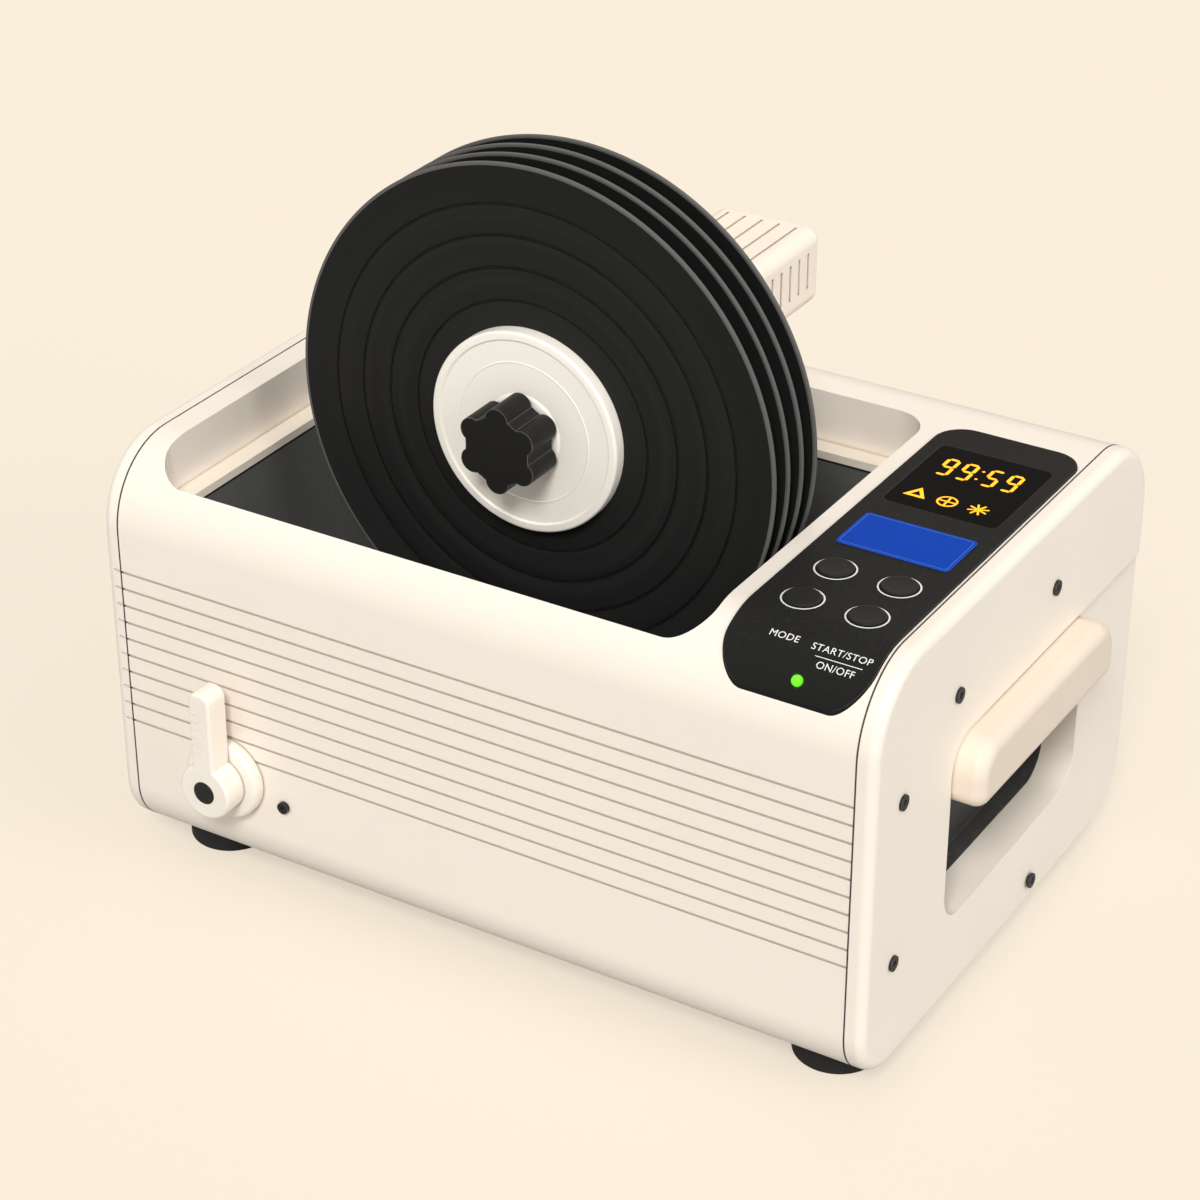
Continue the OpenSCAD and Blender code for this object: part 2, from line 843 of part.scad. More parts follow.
module valve_body() {
    color(brass) difference() {
        union() {
            rod_x(pipe_y, valve_z, valve_r, valve_x - valve_half, valve_x + valve_half);
            rod_x(pipe_y, valve_z, stub_r, valve_x - valve_half - stub_l, valve_x + valve_half + stub_l);
            rod_y(valve_x, valve_z, 7, pipe_y - valve_r - 6, pipe_y);
        }
        rod_x(pipe_y, valve_z, ball_r + gap, valve_x - ball_r - gap, valve_x + ball_r + gap);
        rod_x(pipe_y, valve_z, pipe_bore, valve_x - valve_half - stub_l - 1,
            valve_x + valve_half + stub_l + 1);
        rod_y(valve_x, valve_z, stem_r + fit, pipe_y - valve_r - 7, pipe_y);
    }
}

// Bored ball on its stem, which runs out through the front wall into the lever; upright is shut
module valve_ball() {
    color(steel) difference() {
        union() {
            translate([valve_x, pipe_y, valve_z]) sphere(r = ball_r);
            rod_y(valve_x, valve_z, stem_r, lever_y0 + plug_t, pipe_y);
        }
        translate([valve_x, pipe_y, valve_z - ball_r - 1]) cylinder(r = pipe_bore, h = 2 * ball_r + 2);
    }
}

module valve_boss() {
    color(cream) difference() {
        translate([valve_x, front_y, valve_z]) rotate([90, 0, 0]) rotate_extrude() rim(boss_r, boss_t, 3);
        rod_y(valve_x, valve_z, stem_r + gap, front_y - boss_t - 1, front_y + 1);
    }
}

module valve_lever() {
    color(cream) difference() {
        union() {
            translate([valve_x, lever_y1, valve_z]) rotate([90, 0, 0]) {
                rotate_extrude() rim(hub_r, lever_t, 2);
                slab(lever_w, lever_l, 6, 6, lever_t, 2);
            }
            for (i = [0:5])
                translate([valve_x - lever_w / 2 + 2, lever_y0 - 0.5, valve_z + lever_l - 38 + i * 5])
                    cube([7, 1, 1.2]);
        }
        rod_y(valve_x, valve_z, stem_r, lever_y0 - 1, lever_y1 + 1);
        rod_y(valve_x, valve_z, plug_r + fit, lever_y0 - 1, lever_y0 + plug_t);
    }
}

module lever_plug() {
    color(black) rod_y(valve_x, valve_z, plug_r, lever_y0 - 0.5, lever_y0 + plug_t);
}

// The panel follows the deck and folds over the rounded front edge
module control_panel() {
    color(black) difference() {
        intersection() {
            difference() {
                hull_prism(panel_x1 - panel_w, panel_w, panel_up);
                hull_prism(panel_x1 - panel_w - 1, panel_w + 2, -panel_in);
            }
            panel_prism(0);
        }
        at_buttons() translate([0, 0, top_z - 4]) cylinder(r = button_r + gap, h = 8);
        translate([panel_x, window_y, top_z - 4]) linear_extrude(8)
            plate(window_w + slip, window_d + slip, window_r);
        at_lamp() translate([0, 0, top_r - 5]) cylinder(r = lamp_r + slip, h = 10);
    }
}

module display_window() {
    color("#121414") translate([panel_x, window_y, top_z - panel_in])
        linear_extrude(panel_in + panel_up + window_up) plate(window_w, window_d, window_r - fit);
}

module label_plate() {
    color("#0442b3") translate([panel_x, label_y, panel_z]) linear_extrude(label_t)
        plate(label_w, label_d, 3);
}

module button_cap(x, y) {
    color(black) translate([panel_x + x, y, top_z - wall - gap - button_rise]) {
        cylinder(r = button_r, h = button_rise + gap + wall + panel_up + button_up);
        cylinder(r = button_r + 2, h = button_rise);
    }
}

module upper_left_button() {
    button_cap(-button_x, button_y1);
}

module upper_right_button() {
    button_cap(button_x, button_y1);
}

module lower_left_button() {
    button_cap(-button_x, button_y2);
}

module lower_right_button() {
    button_cap(button_x, button_y2);
}

module power_lamp() {
    color("#5aeb14") at_lamp() {
        translate([0, 0, top_r - wall - 4]) cylinder(r = lamp_r, h = wall + 4 + panel_up);
        translate([0, 0, top_r + panel_up]) intersection() {
            sphere(r = lamp_r);
            cylinder(r = lamp_r + 1, h = lamp_r + 1);
        }
    }
}

module display_board() {
    color("#1d5b34") translate([panel_x - board_w / 2, board_y0, board_z])
        cube([board_w, board_y1 - board_y0, board_t]);
}

module display_module() {
    color("#1c1c1c") translate([panel_x, window_y, board_z + board_t])
        linear_extrude(top_z - panel_in - gap - board_z - board_t) plate(window_w - 14, window_d - 16, 2);
}

module button_switches() {
    color("#2f2f2f") at_buttons() translate([0, 0, board_z + board_t]) {
        translate([-3, -3, 0]) cube([6, 6, switch_h - 1.2]);
        cylinder(r = 1.75, h = switch_h);
    }
}

// Posts that hang the display board from the deck and stand the generator board on the chassis
module board_posts() {
    color(brass) {
        for (m = [-1, 1], y = [board_y0 + 6, board_y1 - 6])
            translate([panel_x + m * (board_w / 2 - 5), y, board_z + board_t])
                cylinder(r = post_r, h = top_z - wall - board_z - board_t);
        for (m = [-1, 1], n = [-1, 1])
            translate([gen_x + m * (gen_w / 2 - 5), gen_y + n * (gen_d / 2 - 5), chassis_z])
                cylinder(r = post_r, h = gen_z - chassis_z);
    }
}

module generator_board() {
    color("#1d5b34") translate([gen_x - gen_w / 2, gen_y - gen_d / 2, gen_z]) cube([gen_w, gen_d, board_t]);
}

module heatsink() {
    color(steel) translate([gen_x - 34, gen_y - 5, gen_z + board_t]) {
        cube([6 * fin_step + fin_t, sink_d, 4]);
        for (i = [0:6]) translate([i * fin_step, 0, 3]) cube([fin_t, sink_d, fin_h]);
    }
}

module capacitors() {
    color("#22304a") for (i = [0:2]) translate([gen_x + 24, gen_y - 50 + i * 24, gen_z + board_t])
        cylinder(r = 8, h = 22);
}

module transformer() {
    color("#b98a3c") translate([gen_x - 8, gen_y - gen_d / 2 - 46, chassis_z]) rotate_extrude() {
        translate([14, 4]) square([24, 26]);
        translate([18, 0]) square([16, 34]);
    }
}

module power_inlet() {
    color(black) {
        difference() {
            union() {
                along_y(rear_y, 3) translate([inlet_x, inlet_z]) plate(2 * inlet_screw + 10, inlet_h + 6, 4);
                translate([inlet_x - inlet_w / 2, rear_y - inlet_deep, inlet_z - inlet_h / 2])
                    cube([inlet_w, inlet_deep + 1, inlet_h]);
            }
            along_y(rear_y - inlet_deep + 4, inlet_deep) translate([inlet_x, inlet_z])
                plate(inlet_w - 4, inlet_h - 4, 3);
            at_inlet_screws() rod_y(0, 0, m4_r + fit, rear_y - 1, rear_y + 4);
        }
        for (i = [-1:1])
            translate([inlet_x + i * 7 - 1, rear_y - inlet_deep + 3, inlet_z - 2 + (i == 0 ? 2 : 0)])
                cube([2, 15, 4]);
    }
}

module fan_frame() {
    color(black) {
        difference() {
            translate([fan_x - fan_size / 2, fan_y0, fan_z - fan_size / 2]) cube([fan_size, fan_t, fan_size]);
            rod_y(fan_x, fan_z, fan_r, fan_y0 - 1, fan_y1 + 1);
            at_fan_screws() rod_y(0, 0, m4_r + fit, fan_y0 - 1, fan_y1 + 1);
        }
        difference() {
            union() {
                rod_y(fan_x, fan_z, 11, fan_y1 - 3, fan_y1);
                intersection() {
                    for (a = [30, 150, 270])
                        translate([fan_x, fan_y1 - 3, fan_z]) rotate([0, a, 0]) translate([0, 0, -1.5])
                            cube([fan_r + 2, 3, 3]);
                    rod_y(fan_x, fan_z, fan_r + 1, fan_y1 - 4, fan_y1 + 1);
                }
            }
            rod_y(fan_x, fan_z, 1.5 + fit, fan_y1 - 4, fan_y1 - 1);
        }
    }
}

module fan_rotor() {
    color("#343434") {
        rod_y(fan_x, fan_z, 12, fan_y0 + 2, fan_y1 - 3.5);
        rod_y(fan_x, fan_z, 1.5, fan_y1 - 4, fan_y1 - 1.2);
        for (i = [0:6])
            translate([fan_x, (fan_y0 + fan_y1) / 2 - 1, fan_z]) rotate([0, i * 360 / 7, 0])
                rotate([35, 0, 0]) translate([10, -0.7, -7]) cube([15.5, 1.4, 14]);
    }
}

// Saddle on the rear fold of the deck, located by two pegs, with webs that carry the motor box
module motor_bracket() {
    color(steel) difference() {
        bracket_y = bracket_back - bracket_front;
        union() {
            intersection() {
                hull_prism(box_x - bracket_w / 2, bracket_w, gap + bracket_t);
                translate([box_x - bracket_w, bracket_front, fold_z])
                    cube([2 * bracket_w, bracket_y, 2 * top_r]);
            }
            for (m = [-1, 1]) translate([box_x + m * 20 - 1.5, bracket_front, fold_z + top_r / 2])
                cube([3, bracket_y, box_z - fold_z - top_r / 2 - bracket_t / 2]);
            translate([box_x - 25, bracket_front, box_z - bracket_t]) cube([50, bracket_y, bracket_t]);
            for (m = [-1, 1])
                translate([box_x + m * peg_x, peg_y, top_z - 9]) cylinder(r = peg_r, h = 10 + gap);
        }
        difference() {
            hull_prism(box_x - bracket_w, 2 * bracket_w, gap);
            for (m = [-1, 1])
                translate([box_x + m * peg_x, peg_y, top_z - 20]) cylinder(r = peg_r, h = 30);
        }
    }
}

module motor_box() {
    color(cream) difference() {
        translate([box_x, box_front + cover_t, box_z]) rotate([90, 0, 180])
            slab(box_w, box_h, box_r, box_r, box_l - cover_t, 4);
        translate([box_x, box_front + cover_t - 1, box_z + box_wall]) rotate([90, 0, 180])
            slab(box_w - 2 * box_wall, box_h - 2 * box_wall, box_r - box_wall, box_r - box_wall,
                box_l - cover_t - box_wall + 1, 2);
        for (i = [-2:2])
            translate([box_x + i * 11.5 - 0.8, box_front, box_z + box_h - 1]) cube([1.6, box_l - 8, 2]);
        for (m = [-1, 1], i = [0:5])
            translate([box_x + m * box_w / 2 - 4, box_front + 16 + i * 11, box_z + 14])
                cube([8, 2.4, box_h - 26]);
    }
}

module motor_box_cover() {
    color(cream) difference() {
        along_y(box_front, cover_t) translate([box_x, box_z]) profile(box_w, box_h, box_r, box_r);
        rod_y(spin_x, spin_z, 7, box_front - 1, box_front + cover_t + 1);
    }
}

module gear_motor() {
    color(steel) difference() {
        union() {
            rod_y(spin_x, spin_z, motor_r, box_front + cover_t, box_front + cover_t + motor_l);
            rod_y(spin_x, spin_z, motor_r - 3, box_front + cover_t, box_front + cover_t + motor_l + 4);
        }
        rod_y(spin_x, spin_z, rod_r + fit, box_front, box_front + cover_t + 32);
    }
}

module spindle_bushing() {
    color(brass) difference() {
        union() {
            rod_y(spin_x, spin_z, 7, box_front - 1, box_front + cover_t);
            rod_y(spin_x, spin_z, 10, box_front - 3, box_front);
        }
        rod_y(spin_x, spin_z, rod_r + fit, box_front - 4, box_front + cover_t + 1);
    }
}

module spindle_rod() {
    color(steel) {
        rod_y(spin_x, spin_z, rod_r, rod_front, box_front + cover_t + 30);
        rod_y(spin_x, spin_z, collar_r, last_y + rear_guard_t, last_y + rear_guard_t + collar_t);
    }
}

// A disc on the spindle from y0 to y1 with the rod's hole
module disc(r, y0, y1) {
    difference() {
        rod_y(spin_x, spin_z, r, y0, y1);
        rod_y(spin_x, spin_z, rod_r + fit, y0 - 1, y1 + 1);
    }
}

module records() {
    color(black) for (i = [0:record_count - 1])
        disc(record_d / 2, stack_y + i * record_pitch, stack_y + i * record_pitch + record_t);
}

module record_spacers() {
    color("#4a4a48") for (i = [1:record_count - 1]) difference() {
        disc(spacer_r, stack_y + (i - 1) * record_pitch + record_t, stack_y + i * record_pitch);
        translate([spin_x, stack_y + (i - 1) * record_pitch + record_t + 2, spin_z]) rotate([-90, 0, 0])
            difference() {
                cylinder(r = spacer_r + 1, h = record_pitch - record_t - 4);
                translate([0, 0, -1]) cylinder(r = spacer_r - 3, h = record_pitch);
            }
    }
}

module rear_label_guard() {
    color(cream) disc(guard_r, last_y, last_y + rear_guard_t);
}

// Front disc with a raised outer rim and a raised inner ring
module front_label_guard() {
    color(cream) difference() {
        translate([spin_x, stack_y, spin_z]) rotate([90, 0, 0]) rotate_extrude() difference() {
            rim(guard_r, guard_t, 1.5);
            translate([22, guard_t - 1]) square([guard_r - 27, 2]);
        }
        rod_y(spin_x, spin_z, rod_r + fit, stack_y - guard_t - 1, stack_y + 1);
    }
}

module clamp_washer() {
    color(steel) disc(washer_r, washer_y, washer_y + washer_t);
}

// Lobed knob: each lobe meets the hollow beside it in a smooth curve
module clamp_knob() {
    lobe_r = knob_r * 0.287;
    lobe_at = knob_r - lobe_r;
    hollow_at = lobe_at * 1.5;
    step = 360 / knob_lobes;
    hollow_r = sqrt(lobe_at * lobe_at + hollow_at * hollow_at
        - 2 * lobe_at * hollow_at * cos(step / 2)) - lobe_r;
    color(black) difference() {
        along_y(knob_y, knob_t) translate([spin_x, spin_z]) difference() {
            union() {
                circle(lobe_at + 2);
                for (i = [0:knob_lobes - 1]) rotate(i * step + 90) translate([lobe_at, 0]) circle(lobe_r);
            }
            for (i = [0:knob_lobes - 1])
                rotate((i + 0.5) * step + 90) translate([hollow_at, 0]) circle(hollow_r);
        }
        rod_y(spin_x, spin_z, rod_r + fit, rod_front - knob_travel - 1, knob_y + knob_t + 1);
    }
}

housing_shell();
chassis_plate();
left_end_frame();
right_end_frame();
left_end_cap();
right_end_cap();
m5_screws();
m4_screws();
left_hand_pocket();
right_hand_pocket();
left_grip();
right_grip();
rubber_feet();
tank();
tank_bezel();
tank_gasket();
transducer_horns();
piezo_rings();
transducer_backs();
heater_pad();
drain_elbow();
drain_hoses();
drain_spout();
valve_bracket();
valve_body();
valve_ball();
valve_boss();
valve_lever();
lever_plug();
control_panel();
display_window();
label_plate();
upper_left_button();
upper_right_button();
lower_left_button();
lower_right_button();
power_lamp();
display_board();
display_module();
button_switches();
board_posts();
generator_board();
heatsink();
capacitors();
transformer();
power_inlet();
fan_frame();
fan_rotor();
motor_bracket();
motor_box();
motor_box_cover();
gear_motor();
spindle_bushing();
spindle_rod();
records();
record_spacers();
rear_label_guard();
front_label_guard();
clamp_washer();
clamp_knob();
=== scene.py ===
# Looks of the record cleaning machine: camera, light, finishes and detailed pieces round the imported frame.
import json
import math

import bmesh
import bpy
from mathutils import Matrix, Vector


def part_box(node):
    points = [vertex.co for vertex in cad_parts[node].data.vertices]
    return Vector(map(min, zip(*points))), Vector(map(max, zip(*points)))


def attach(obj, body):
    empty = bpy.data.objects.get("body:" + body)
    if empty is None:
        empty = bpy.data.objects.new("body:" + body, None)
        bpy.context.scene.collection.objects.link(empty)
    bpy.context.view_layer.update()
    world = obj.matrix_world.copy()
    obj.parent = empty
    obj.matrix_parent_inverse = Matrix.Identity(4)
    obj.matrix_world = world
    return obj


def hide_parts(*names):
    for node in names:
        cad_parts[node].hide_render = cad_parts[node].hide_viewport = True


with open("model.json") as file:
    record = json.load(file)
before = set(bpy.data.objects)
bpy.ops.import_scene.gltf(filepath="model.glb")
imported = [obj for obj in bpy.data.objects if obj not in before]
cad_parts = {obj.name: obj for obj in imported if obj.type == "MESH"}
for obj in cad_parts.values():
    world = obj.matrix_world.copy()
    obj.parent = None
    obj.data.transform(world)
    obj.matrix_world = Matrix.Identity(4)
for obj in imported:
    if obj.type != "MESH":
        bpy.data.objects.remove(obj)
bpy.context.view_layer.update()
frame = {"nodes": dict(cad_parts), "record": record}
nodes = frame["nodes"]
slotOf = {part["node"]: part["material_slot"] for part in frame["record"]["subparts"]}
print("frame loaded:", len(nodes), "nodes")


def tint(red, green, blue):  # a screen colour of 0 to 255 as linear light
    def one(value):
        value /= 255
        return value / 12.92 if value <= 0.04045 else ((value + 0.055) / 1.055) ** 2.4
    return (one(red), one(green), one(blue), 1.0)


def direction(azimuth, elevation):  # towards a viewer or a lamp; azimuth 0 is in front
    a, e = math.radians(azimuth), math.radians(elevation)
    return Vector((math.sin(a) * math.cos(e), -math.cos(a) * math.cos(e), math.sin(e)))


# Camera
cameraView = {"azimuth": 31.4, "elevation": 29.6, "distance": 1.8452, "target": (-0.0195, 0.0, 0.1555),
              "lens": 95.37, "sensor": 36, "near": 0.05, "far": 80}


def addCamera():
    camera = bpy.data.objects.new("camera", bpy.data.cameras.new("camera"))
    camera.data.lens, camera.data.sensor_width = cameraView["lens"], cameraView["sensor"]
    camera.data.clip_start, camera.data.clip_end = cameraView["near"], cameraView["far"]
    back = direction(cameraView["azimuth"], cameraView["elevation"])
    camera.location = Vector(cameraView["target"]) + back * cameraView["distance"]
    camera.rotation_mode = "QUATERNION"
    camera.rotation_quaternion = (-back).to_track_quat("-Z", "Y")
    bpy.context.scene.collection.objects.link(camera)
    bpy.context.scene.camera = camera


# Floor and light
studio = {
    "backdrop": (250, 239, 221),
    "sky": (255, 252, 246),
    "skyLevel": 0.54,
    "lamps": {  # azimuth, elevation, level, softness
        "keyLamp": (22, 44, 1.9, 16),
        "sideLamp": (84, 26, 0.82, 30),
    },
    "floorSize": 60,
    "floorPaper": (244, 232, 215),  # the part of the floor's colour that takes shadow
    "floorGlow": 0.62,  # share of the floor's colour that no shadow darkens
    "floorBounce": (186, 184, 180),  # the floor's colour as the object's light sees it
}


def addStudio():
    world = bpy.data.worlds.new("studio")
    bpy.context.scene.world = world
    world.use_nodes = True
    tree = world.node_tree
    tree.nodes.clear()
    path = tree.nodes.new("ShaderNodeLightPath")
    seen = path.outputs["Is Camera Ray"]
    for ray in ("Is Glossy Ray", "Is Transmission Ray"):
        either = tree.nodes.new("ShaderNodeMath")
        either.operation = "MAXIMUM"
        tree.links.new(seen, either.inputs[0])
        tree.links.new(path.outputs[ray], either.inputs[1])
        seen = either.outputs[0]
    sky = tree.nodes.new("ShaderNodeBackground")
    sky.inputs["Color"].default_value = tint(*studio["sky"])
    sky.inputs["Strength"].default_value = studio["skyLevel"]
    wall = tree.nodes.new("ShaderNodeBackground")
    wall.inputs["Color"].default_value = tint(*studio["backdrop"])
    mix = tree.nodes.new("ShaderNodeMixShader")
    out = tree.nodes.new("ShaderNodeOutputWorld")
    tree.links.new(seen, mix.inputs[0])
    tree.links.new(sky.outputs[0], mix.inputs[1])
    tree.links.new(wall.outputs[0], mix.inputs[2])
    tree.links.new(mix.outputs[0], out.inputs[0])
    for name, (azimuth, elevation, level, softness) in studio["lamps"].items():
        lamp = bpy.data.objects.new(name, bpy.data.lights.new(name, "SUN"))
        lamp.data.energy, lamp.data.angle = level, math.radians(softness)
        lamp.rotation_mode = "QUATERNION"
        lamp.rotation_quaternion = direction(azimuth, elevation).to_track_quat("Z", "Y")
        bpy.context.scene.collection.objects.link(lamp)


def addFloor():
    pickOnly(None)
    bpy.ops.mesh.primitive_plane_add(size=studio["floorSize"], location=(0, 0, 0))
    floor = bpy.context.object
    floor.name = "floor"
    material = bpy.data.materials.new("floorPaper")
    material.use_nodes = True
    tree = material.node_tree
    tree.nodes.clear()
    paper = tree.nodes.new("ShaderNodeBsdfDiffuse")
    glow = tree.nodes.new("ShaderNodeEmission")
    glow.inputs["Color"].default_value = tint(*studio["backdrop"])
    path = tree.nodes.new("ShaderNodeLightPath")
    seen = path.outputs["Is Camera Ray"]
    shown = addMix(tree, seen, tint(*studio["floorBounce"]), tint(*studio["floorPaper"]))
    tree.links.new(shown, paper.inputs["Color"])
    share = tree.nodes.new("ShaderNodeMath")
    share.operation = "MULTIPLY"
    share.inputs[1].default_value = studio["floorGlow"]
    mix = tree.nodes.new("ShaderNodeMixShader")
    out = tree.nodes.new("ShaderNodeOutputMaterial")
    tree.links.new(seen, share.inputs[0])
    tree.links.new(share.outputs[0], mix.inputs[0])
    tree.links.new(paper.outputs[0], mix.inputs[1])
    tree.links.new(glow.outputs[0], mix.inputs[2])
    tree.links.new(mix.outputs[0], out.inputs[0])
    floor.data.materials.append(material)


# Selecting and finishing
samePlace = 0.000001  # places closer than this, in metres, count as one
mergeReach = 0.000002
manyCorners = 8  # a face with more corners than this is the flat end of a disc


def pickOnly(piece):
    if bpy.context.object and bpy.context.object.mode != "OBJECT":
        bpy.ops.object.mode_set(mode="OBJECT")
    bpy.ops.object.select_all(action="DESELECT")
    bpy.context.view_layer.objects.active = piece
    if piece:
        piece.select_set(True)


def edit(piece, mode="FACE"):
    pickOnly(piece)
    bpy.ops.object.mode_set(mode="EDIT")
    bpy.ops.mesh.select_mode(type=mode)
    bpy.ops.mesh.select_all(action="DESELECT")


def pickWhere(piece, kind, test):  # selects the faces, edges or vertices that pass the test
    mesh = bmesh.from_edit_mesh(piece.data)
    for item in getattr(mesh, kind):
        item.select_set(False)
    for item in getattr(mesh, kind):
        if test(item):
            item.select_set(True)
    mesh.select_flush_mode()
    bmesh.update_edit_mesh(piece.data)


def bevelWhere(piece, test, offset, segments):
    edit(piece, "EDGE")
    pickWhere(piece, "edges", test)
    bpy.ops.mesh.bevel(offset=offset, segments=segments, profile=0.5, affect="EDGES")


def hollowOut(width):  # leaves a band of that width inside the outline that is being edited
    bpy.ops.mesh.select_all(action="SELECT")
    bpy.ops.mesh.inset(thickness=width)
    bpy.ops.mesh.delete(type="FACE")


def raiseFaces(thick):  # gives a flat print its thickness
    bpy.ops.mesh.select_all(action="SELECT")
    bpy.ops.mesh.extrude_region_move(TRANSFORM_OT_translate={"value": (0, 0, thick)})


def keepPlace(piece):  # puts the place and turn into the mesh
    pickOnly(piece)
    bpy.ops.object.transform_apply(location=True, rotation=True, scale=True)


def finishPiece(piece, name, body, slot, replaces=(), smooth=30):
    edit(piece)
    bpy.ops.mesh.select_all(action="SELECT")
    bpy.ops.mesh.remove_doubles(threshold=mergeReach)
    bpy.ops.mesh.normals_make_consistent(inside=False)
    keepPlace(piece)
    bpy.ops.object.shade_smooth_by_angle(angle=math.radians(smooth))
    piece.name = piece.data.name = name
    piece.data.materials.clear()
    piece.data.materials.append(materials[slot])
    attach(piece, body)
    if replaces:
        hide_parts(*replaces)
    return piece


def copyPiece(piece, name, move, body, replaces=()):
    other = piece.copy()
    other.data = piece.data.copy()
    other.name = other.data.name = name
    bpy.context.scene.collection.objects.link(other)
    other.parent = None
    other.data.transform(Matrix.Translation(move))
    other.matrix_world = Matrix.Identity(4)
    for key in list(other.keys()):
        del other[key]
    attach(other, body)
    if replaces:
        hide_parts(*replaces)
    return other


# Node groups
def startGroup(name, inputs, outputs):
    group = bpy.data.node_groups.new(name, "ShaderNodeTree")
    for label, kind, value in inputs:
        socket = group.interface.new_socket(name=label, in_out="INPUT", socket_type="NodeSocket" + kind)
        if value is not None:
            socket.default_value = value
    for label, kind in outputs:
        group.interface.new_socket(name=label, in_out="OUTPUT", socket_type="NodeSocket" + kind)
    return group, group.nodes.new("NodeGroupInput"), group.nodes.new("NodeGroupOutput")


def addMath(tree, operation, first, second, clamp=False):  # numbers or sockets in, socket out
    node = tree.nodes.new("ShaderNodeMath")
    node.operation, node.use_clamp = operation, clamp
    for i, value in enumerate((first, second)):
        if isinstance(value, (int, float)):
            node.inputs[i].default_value = value
        else:
            tree.links.new(value, node.inputs[i])
    return node.outputs[0]


def addNoise(tree, vector, scale, detail=2.0, rough=0.5):
    node = tree.nodes.new("ShaderNodeTexNoise")
    node.inputs["Detail"].default_value, node.inputs["Roughness"].default_value = detail, rough
    if isinstance(scale, (int, float)):
        node.inputs["Scale"].default_value = scale
    else:
        tree.links.new(scale, node.inputs["Scale"])
    tree.links.new(vector, node.inputs["Vector"])
    return node.outputs["Fac"]


def addMix(tree, factor, first, second):  # colours; factor is a socket
    node = tree.nodes.new("ShaderNodeMix")
    node.data_type = "RGBA"
    tree.links.new(factor, node.inputs[0])
    for socket, value in ((node.inputs[6], first), (node.inputs[7], second)):
        if isinstance(value, tuple):
            socket.default_value = value
        else:
            tree.links.new(value, socket)
    return node.outputs[2]


def buildGrain():  # patchy tone, roughness and a fine moulded or painted skin
    group, given, out = startGroup(
        "skinGrain",
        [("Vector", "Vector", None), ("Color", "Color", (0.8, 0.8, 0.8, 1)), ("Tone", "Float", 0.03),
         ("Patch Scale", "Float", 12), ("Grain Scale", "Float", 900), ("Roughness", "Float", 0.4),
         ("Roughness Spread", "Float", 0.1)],
        [("Color", "Color"), ("Roughness", "Float"), ("Height", "Float")])
    patch = addNoise(group, given.outputs["Vector"], given.outputs["Patch Scale"], 4, 0.6)
    grain = addNoise(group, given.outputs["Vector"], given.outputs["Grain Scale"], 2)
    signed = addMath(group, "SUBTRACT", patch, 0.5)
    fine = addMath(group, "MULTIPLY", addMath(group, "SUBTRACT", grain, 0.5), 0.4)
    both = addMath(group, "ADD", signed, fine)
    level = addMath(group, "ADD", addMath(group, "MULTIPLY", both, given.outputs["Tone"]), 1.0)
    scale = group.nodes.new("ShaderNodeVectorMath")
    scale.operation = "SCALE"
    group.links.new(given.outputs["Color"], scale.inputs[0])
    group.links.new(level, scale.inputs["Scale"])
    group.links.new(scale.outputs[0], out.inputs["Color"])
    rough = addMath(group, "ADD", addMath(group, "MULTIPLY", signed, given.outputs["Roughness Spread"]),
                    given.outputs["Roughness"], clamp=True)
    group.links.new(rough, out.inputs["Roughness"])
    group.links.new(grain, out.inputs["Height"])
    return group


def buildWornAndLitEdges():  # mask of edges that hands and cloths have rubbed, which also carries a painted highlight along the edges
    group, given, out = startGroup(
        "wornAndLitEdges", [("Vector", "Vector", None), ("Radius", "Float", 0.001), ("Amount", "Float", 0.5)],
        [("Mask", "Float")])
    bevel = group.nodes.new("ShaderNodeBevel")
    bevel.samples = 4
    group.links.new(given.outputs["Radius"], bevel.inputs["Radius"])
    surface = group.nodes.new("ShaderNodeNewGeometry")
    dot = group.nodes.new("ShaderNodeVectorMath")
    dot.operation = "DOT_PRODUCT"
    group.links.new(bevel.outputs[0], dot.inputs[0])
    group.links.new(surface.outputs["Normal"], dot.inputs[1])
    bent = addMath(group, "SUBTRACT", 1.0, dot.outputs["Value"])
    turned = addMath(group, "MULTIPLY", bent, 7.0, clamp=True)
    noise = addNoise(group, given.outputs["Vector"], 160, 3)
    broken = addMath(group, "ADD", addMath(group, "MULTIPLY", noise, 0.9), 0.4)
    rubbedAndLit = addMath(group, "MULTIPLY", turned, broken)
    mask = addMath(group, "MULTIPLY", rubbedAndLit, given.outputs["Amount"], clamp=True)
    group.links.new(mask, out.inputs["Mask"])
    return group


def buildDust():  # thin dust that lies on what faces up
    group, given, out = startGroup(
        "settledDust", [("Vector", "Vector", None), ("Amount", "Float", 0.1)], [("Mask", "Float")])
    surface = group.nodes.new("ShaderNodeNewGeometry")
    parts = group.nodes.new("ShaderNodeSeparateXYZ")
    group.links.new(surface.outputs["Normal"], parts.inputs[0])
    upward = addMath(group, "MULTIPLY", addMath(group, "SUBTRACT", parts.outputs["Z"], 0.5), 2.0, clamp=True)
    fine = addNoise(group, given.outputs["Vector"], 420, 4, 0.7)
    specks = addMath(group, "MULTIPLY", addMath(group, "SUBTRACT", fine, 0.5), 6.0, clamp=True)
    veil = addMath(group, "MULTIPLY", addNoise(group, given.outputs["Vector"], 16, 3), 0.5)
    lies = addMath(group, "ADD", addMath(group, "MULTIPLY", specks, 0.6), veil)
    settled = addMath(group, "MULTIPLY", upward, lies)
    mask = addMath(group, "MULTIPLY", settled, given.outputs["Amount"], clamp=True)
    group.links.new(mask, out.inputs["Mask"])
    return group


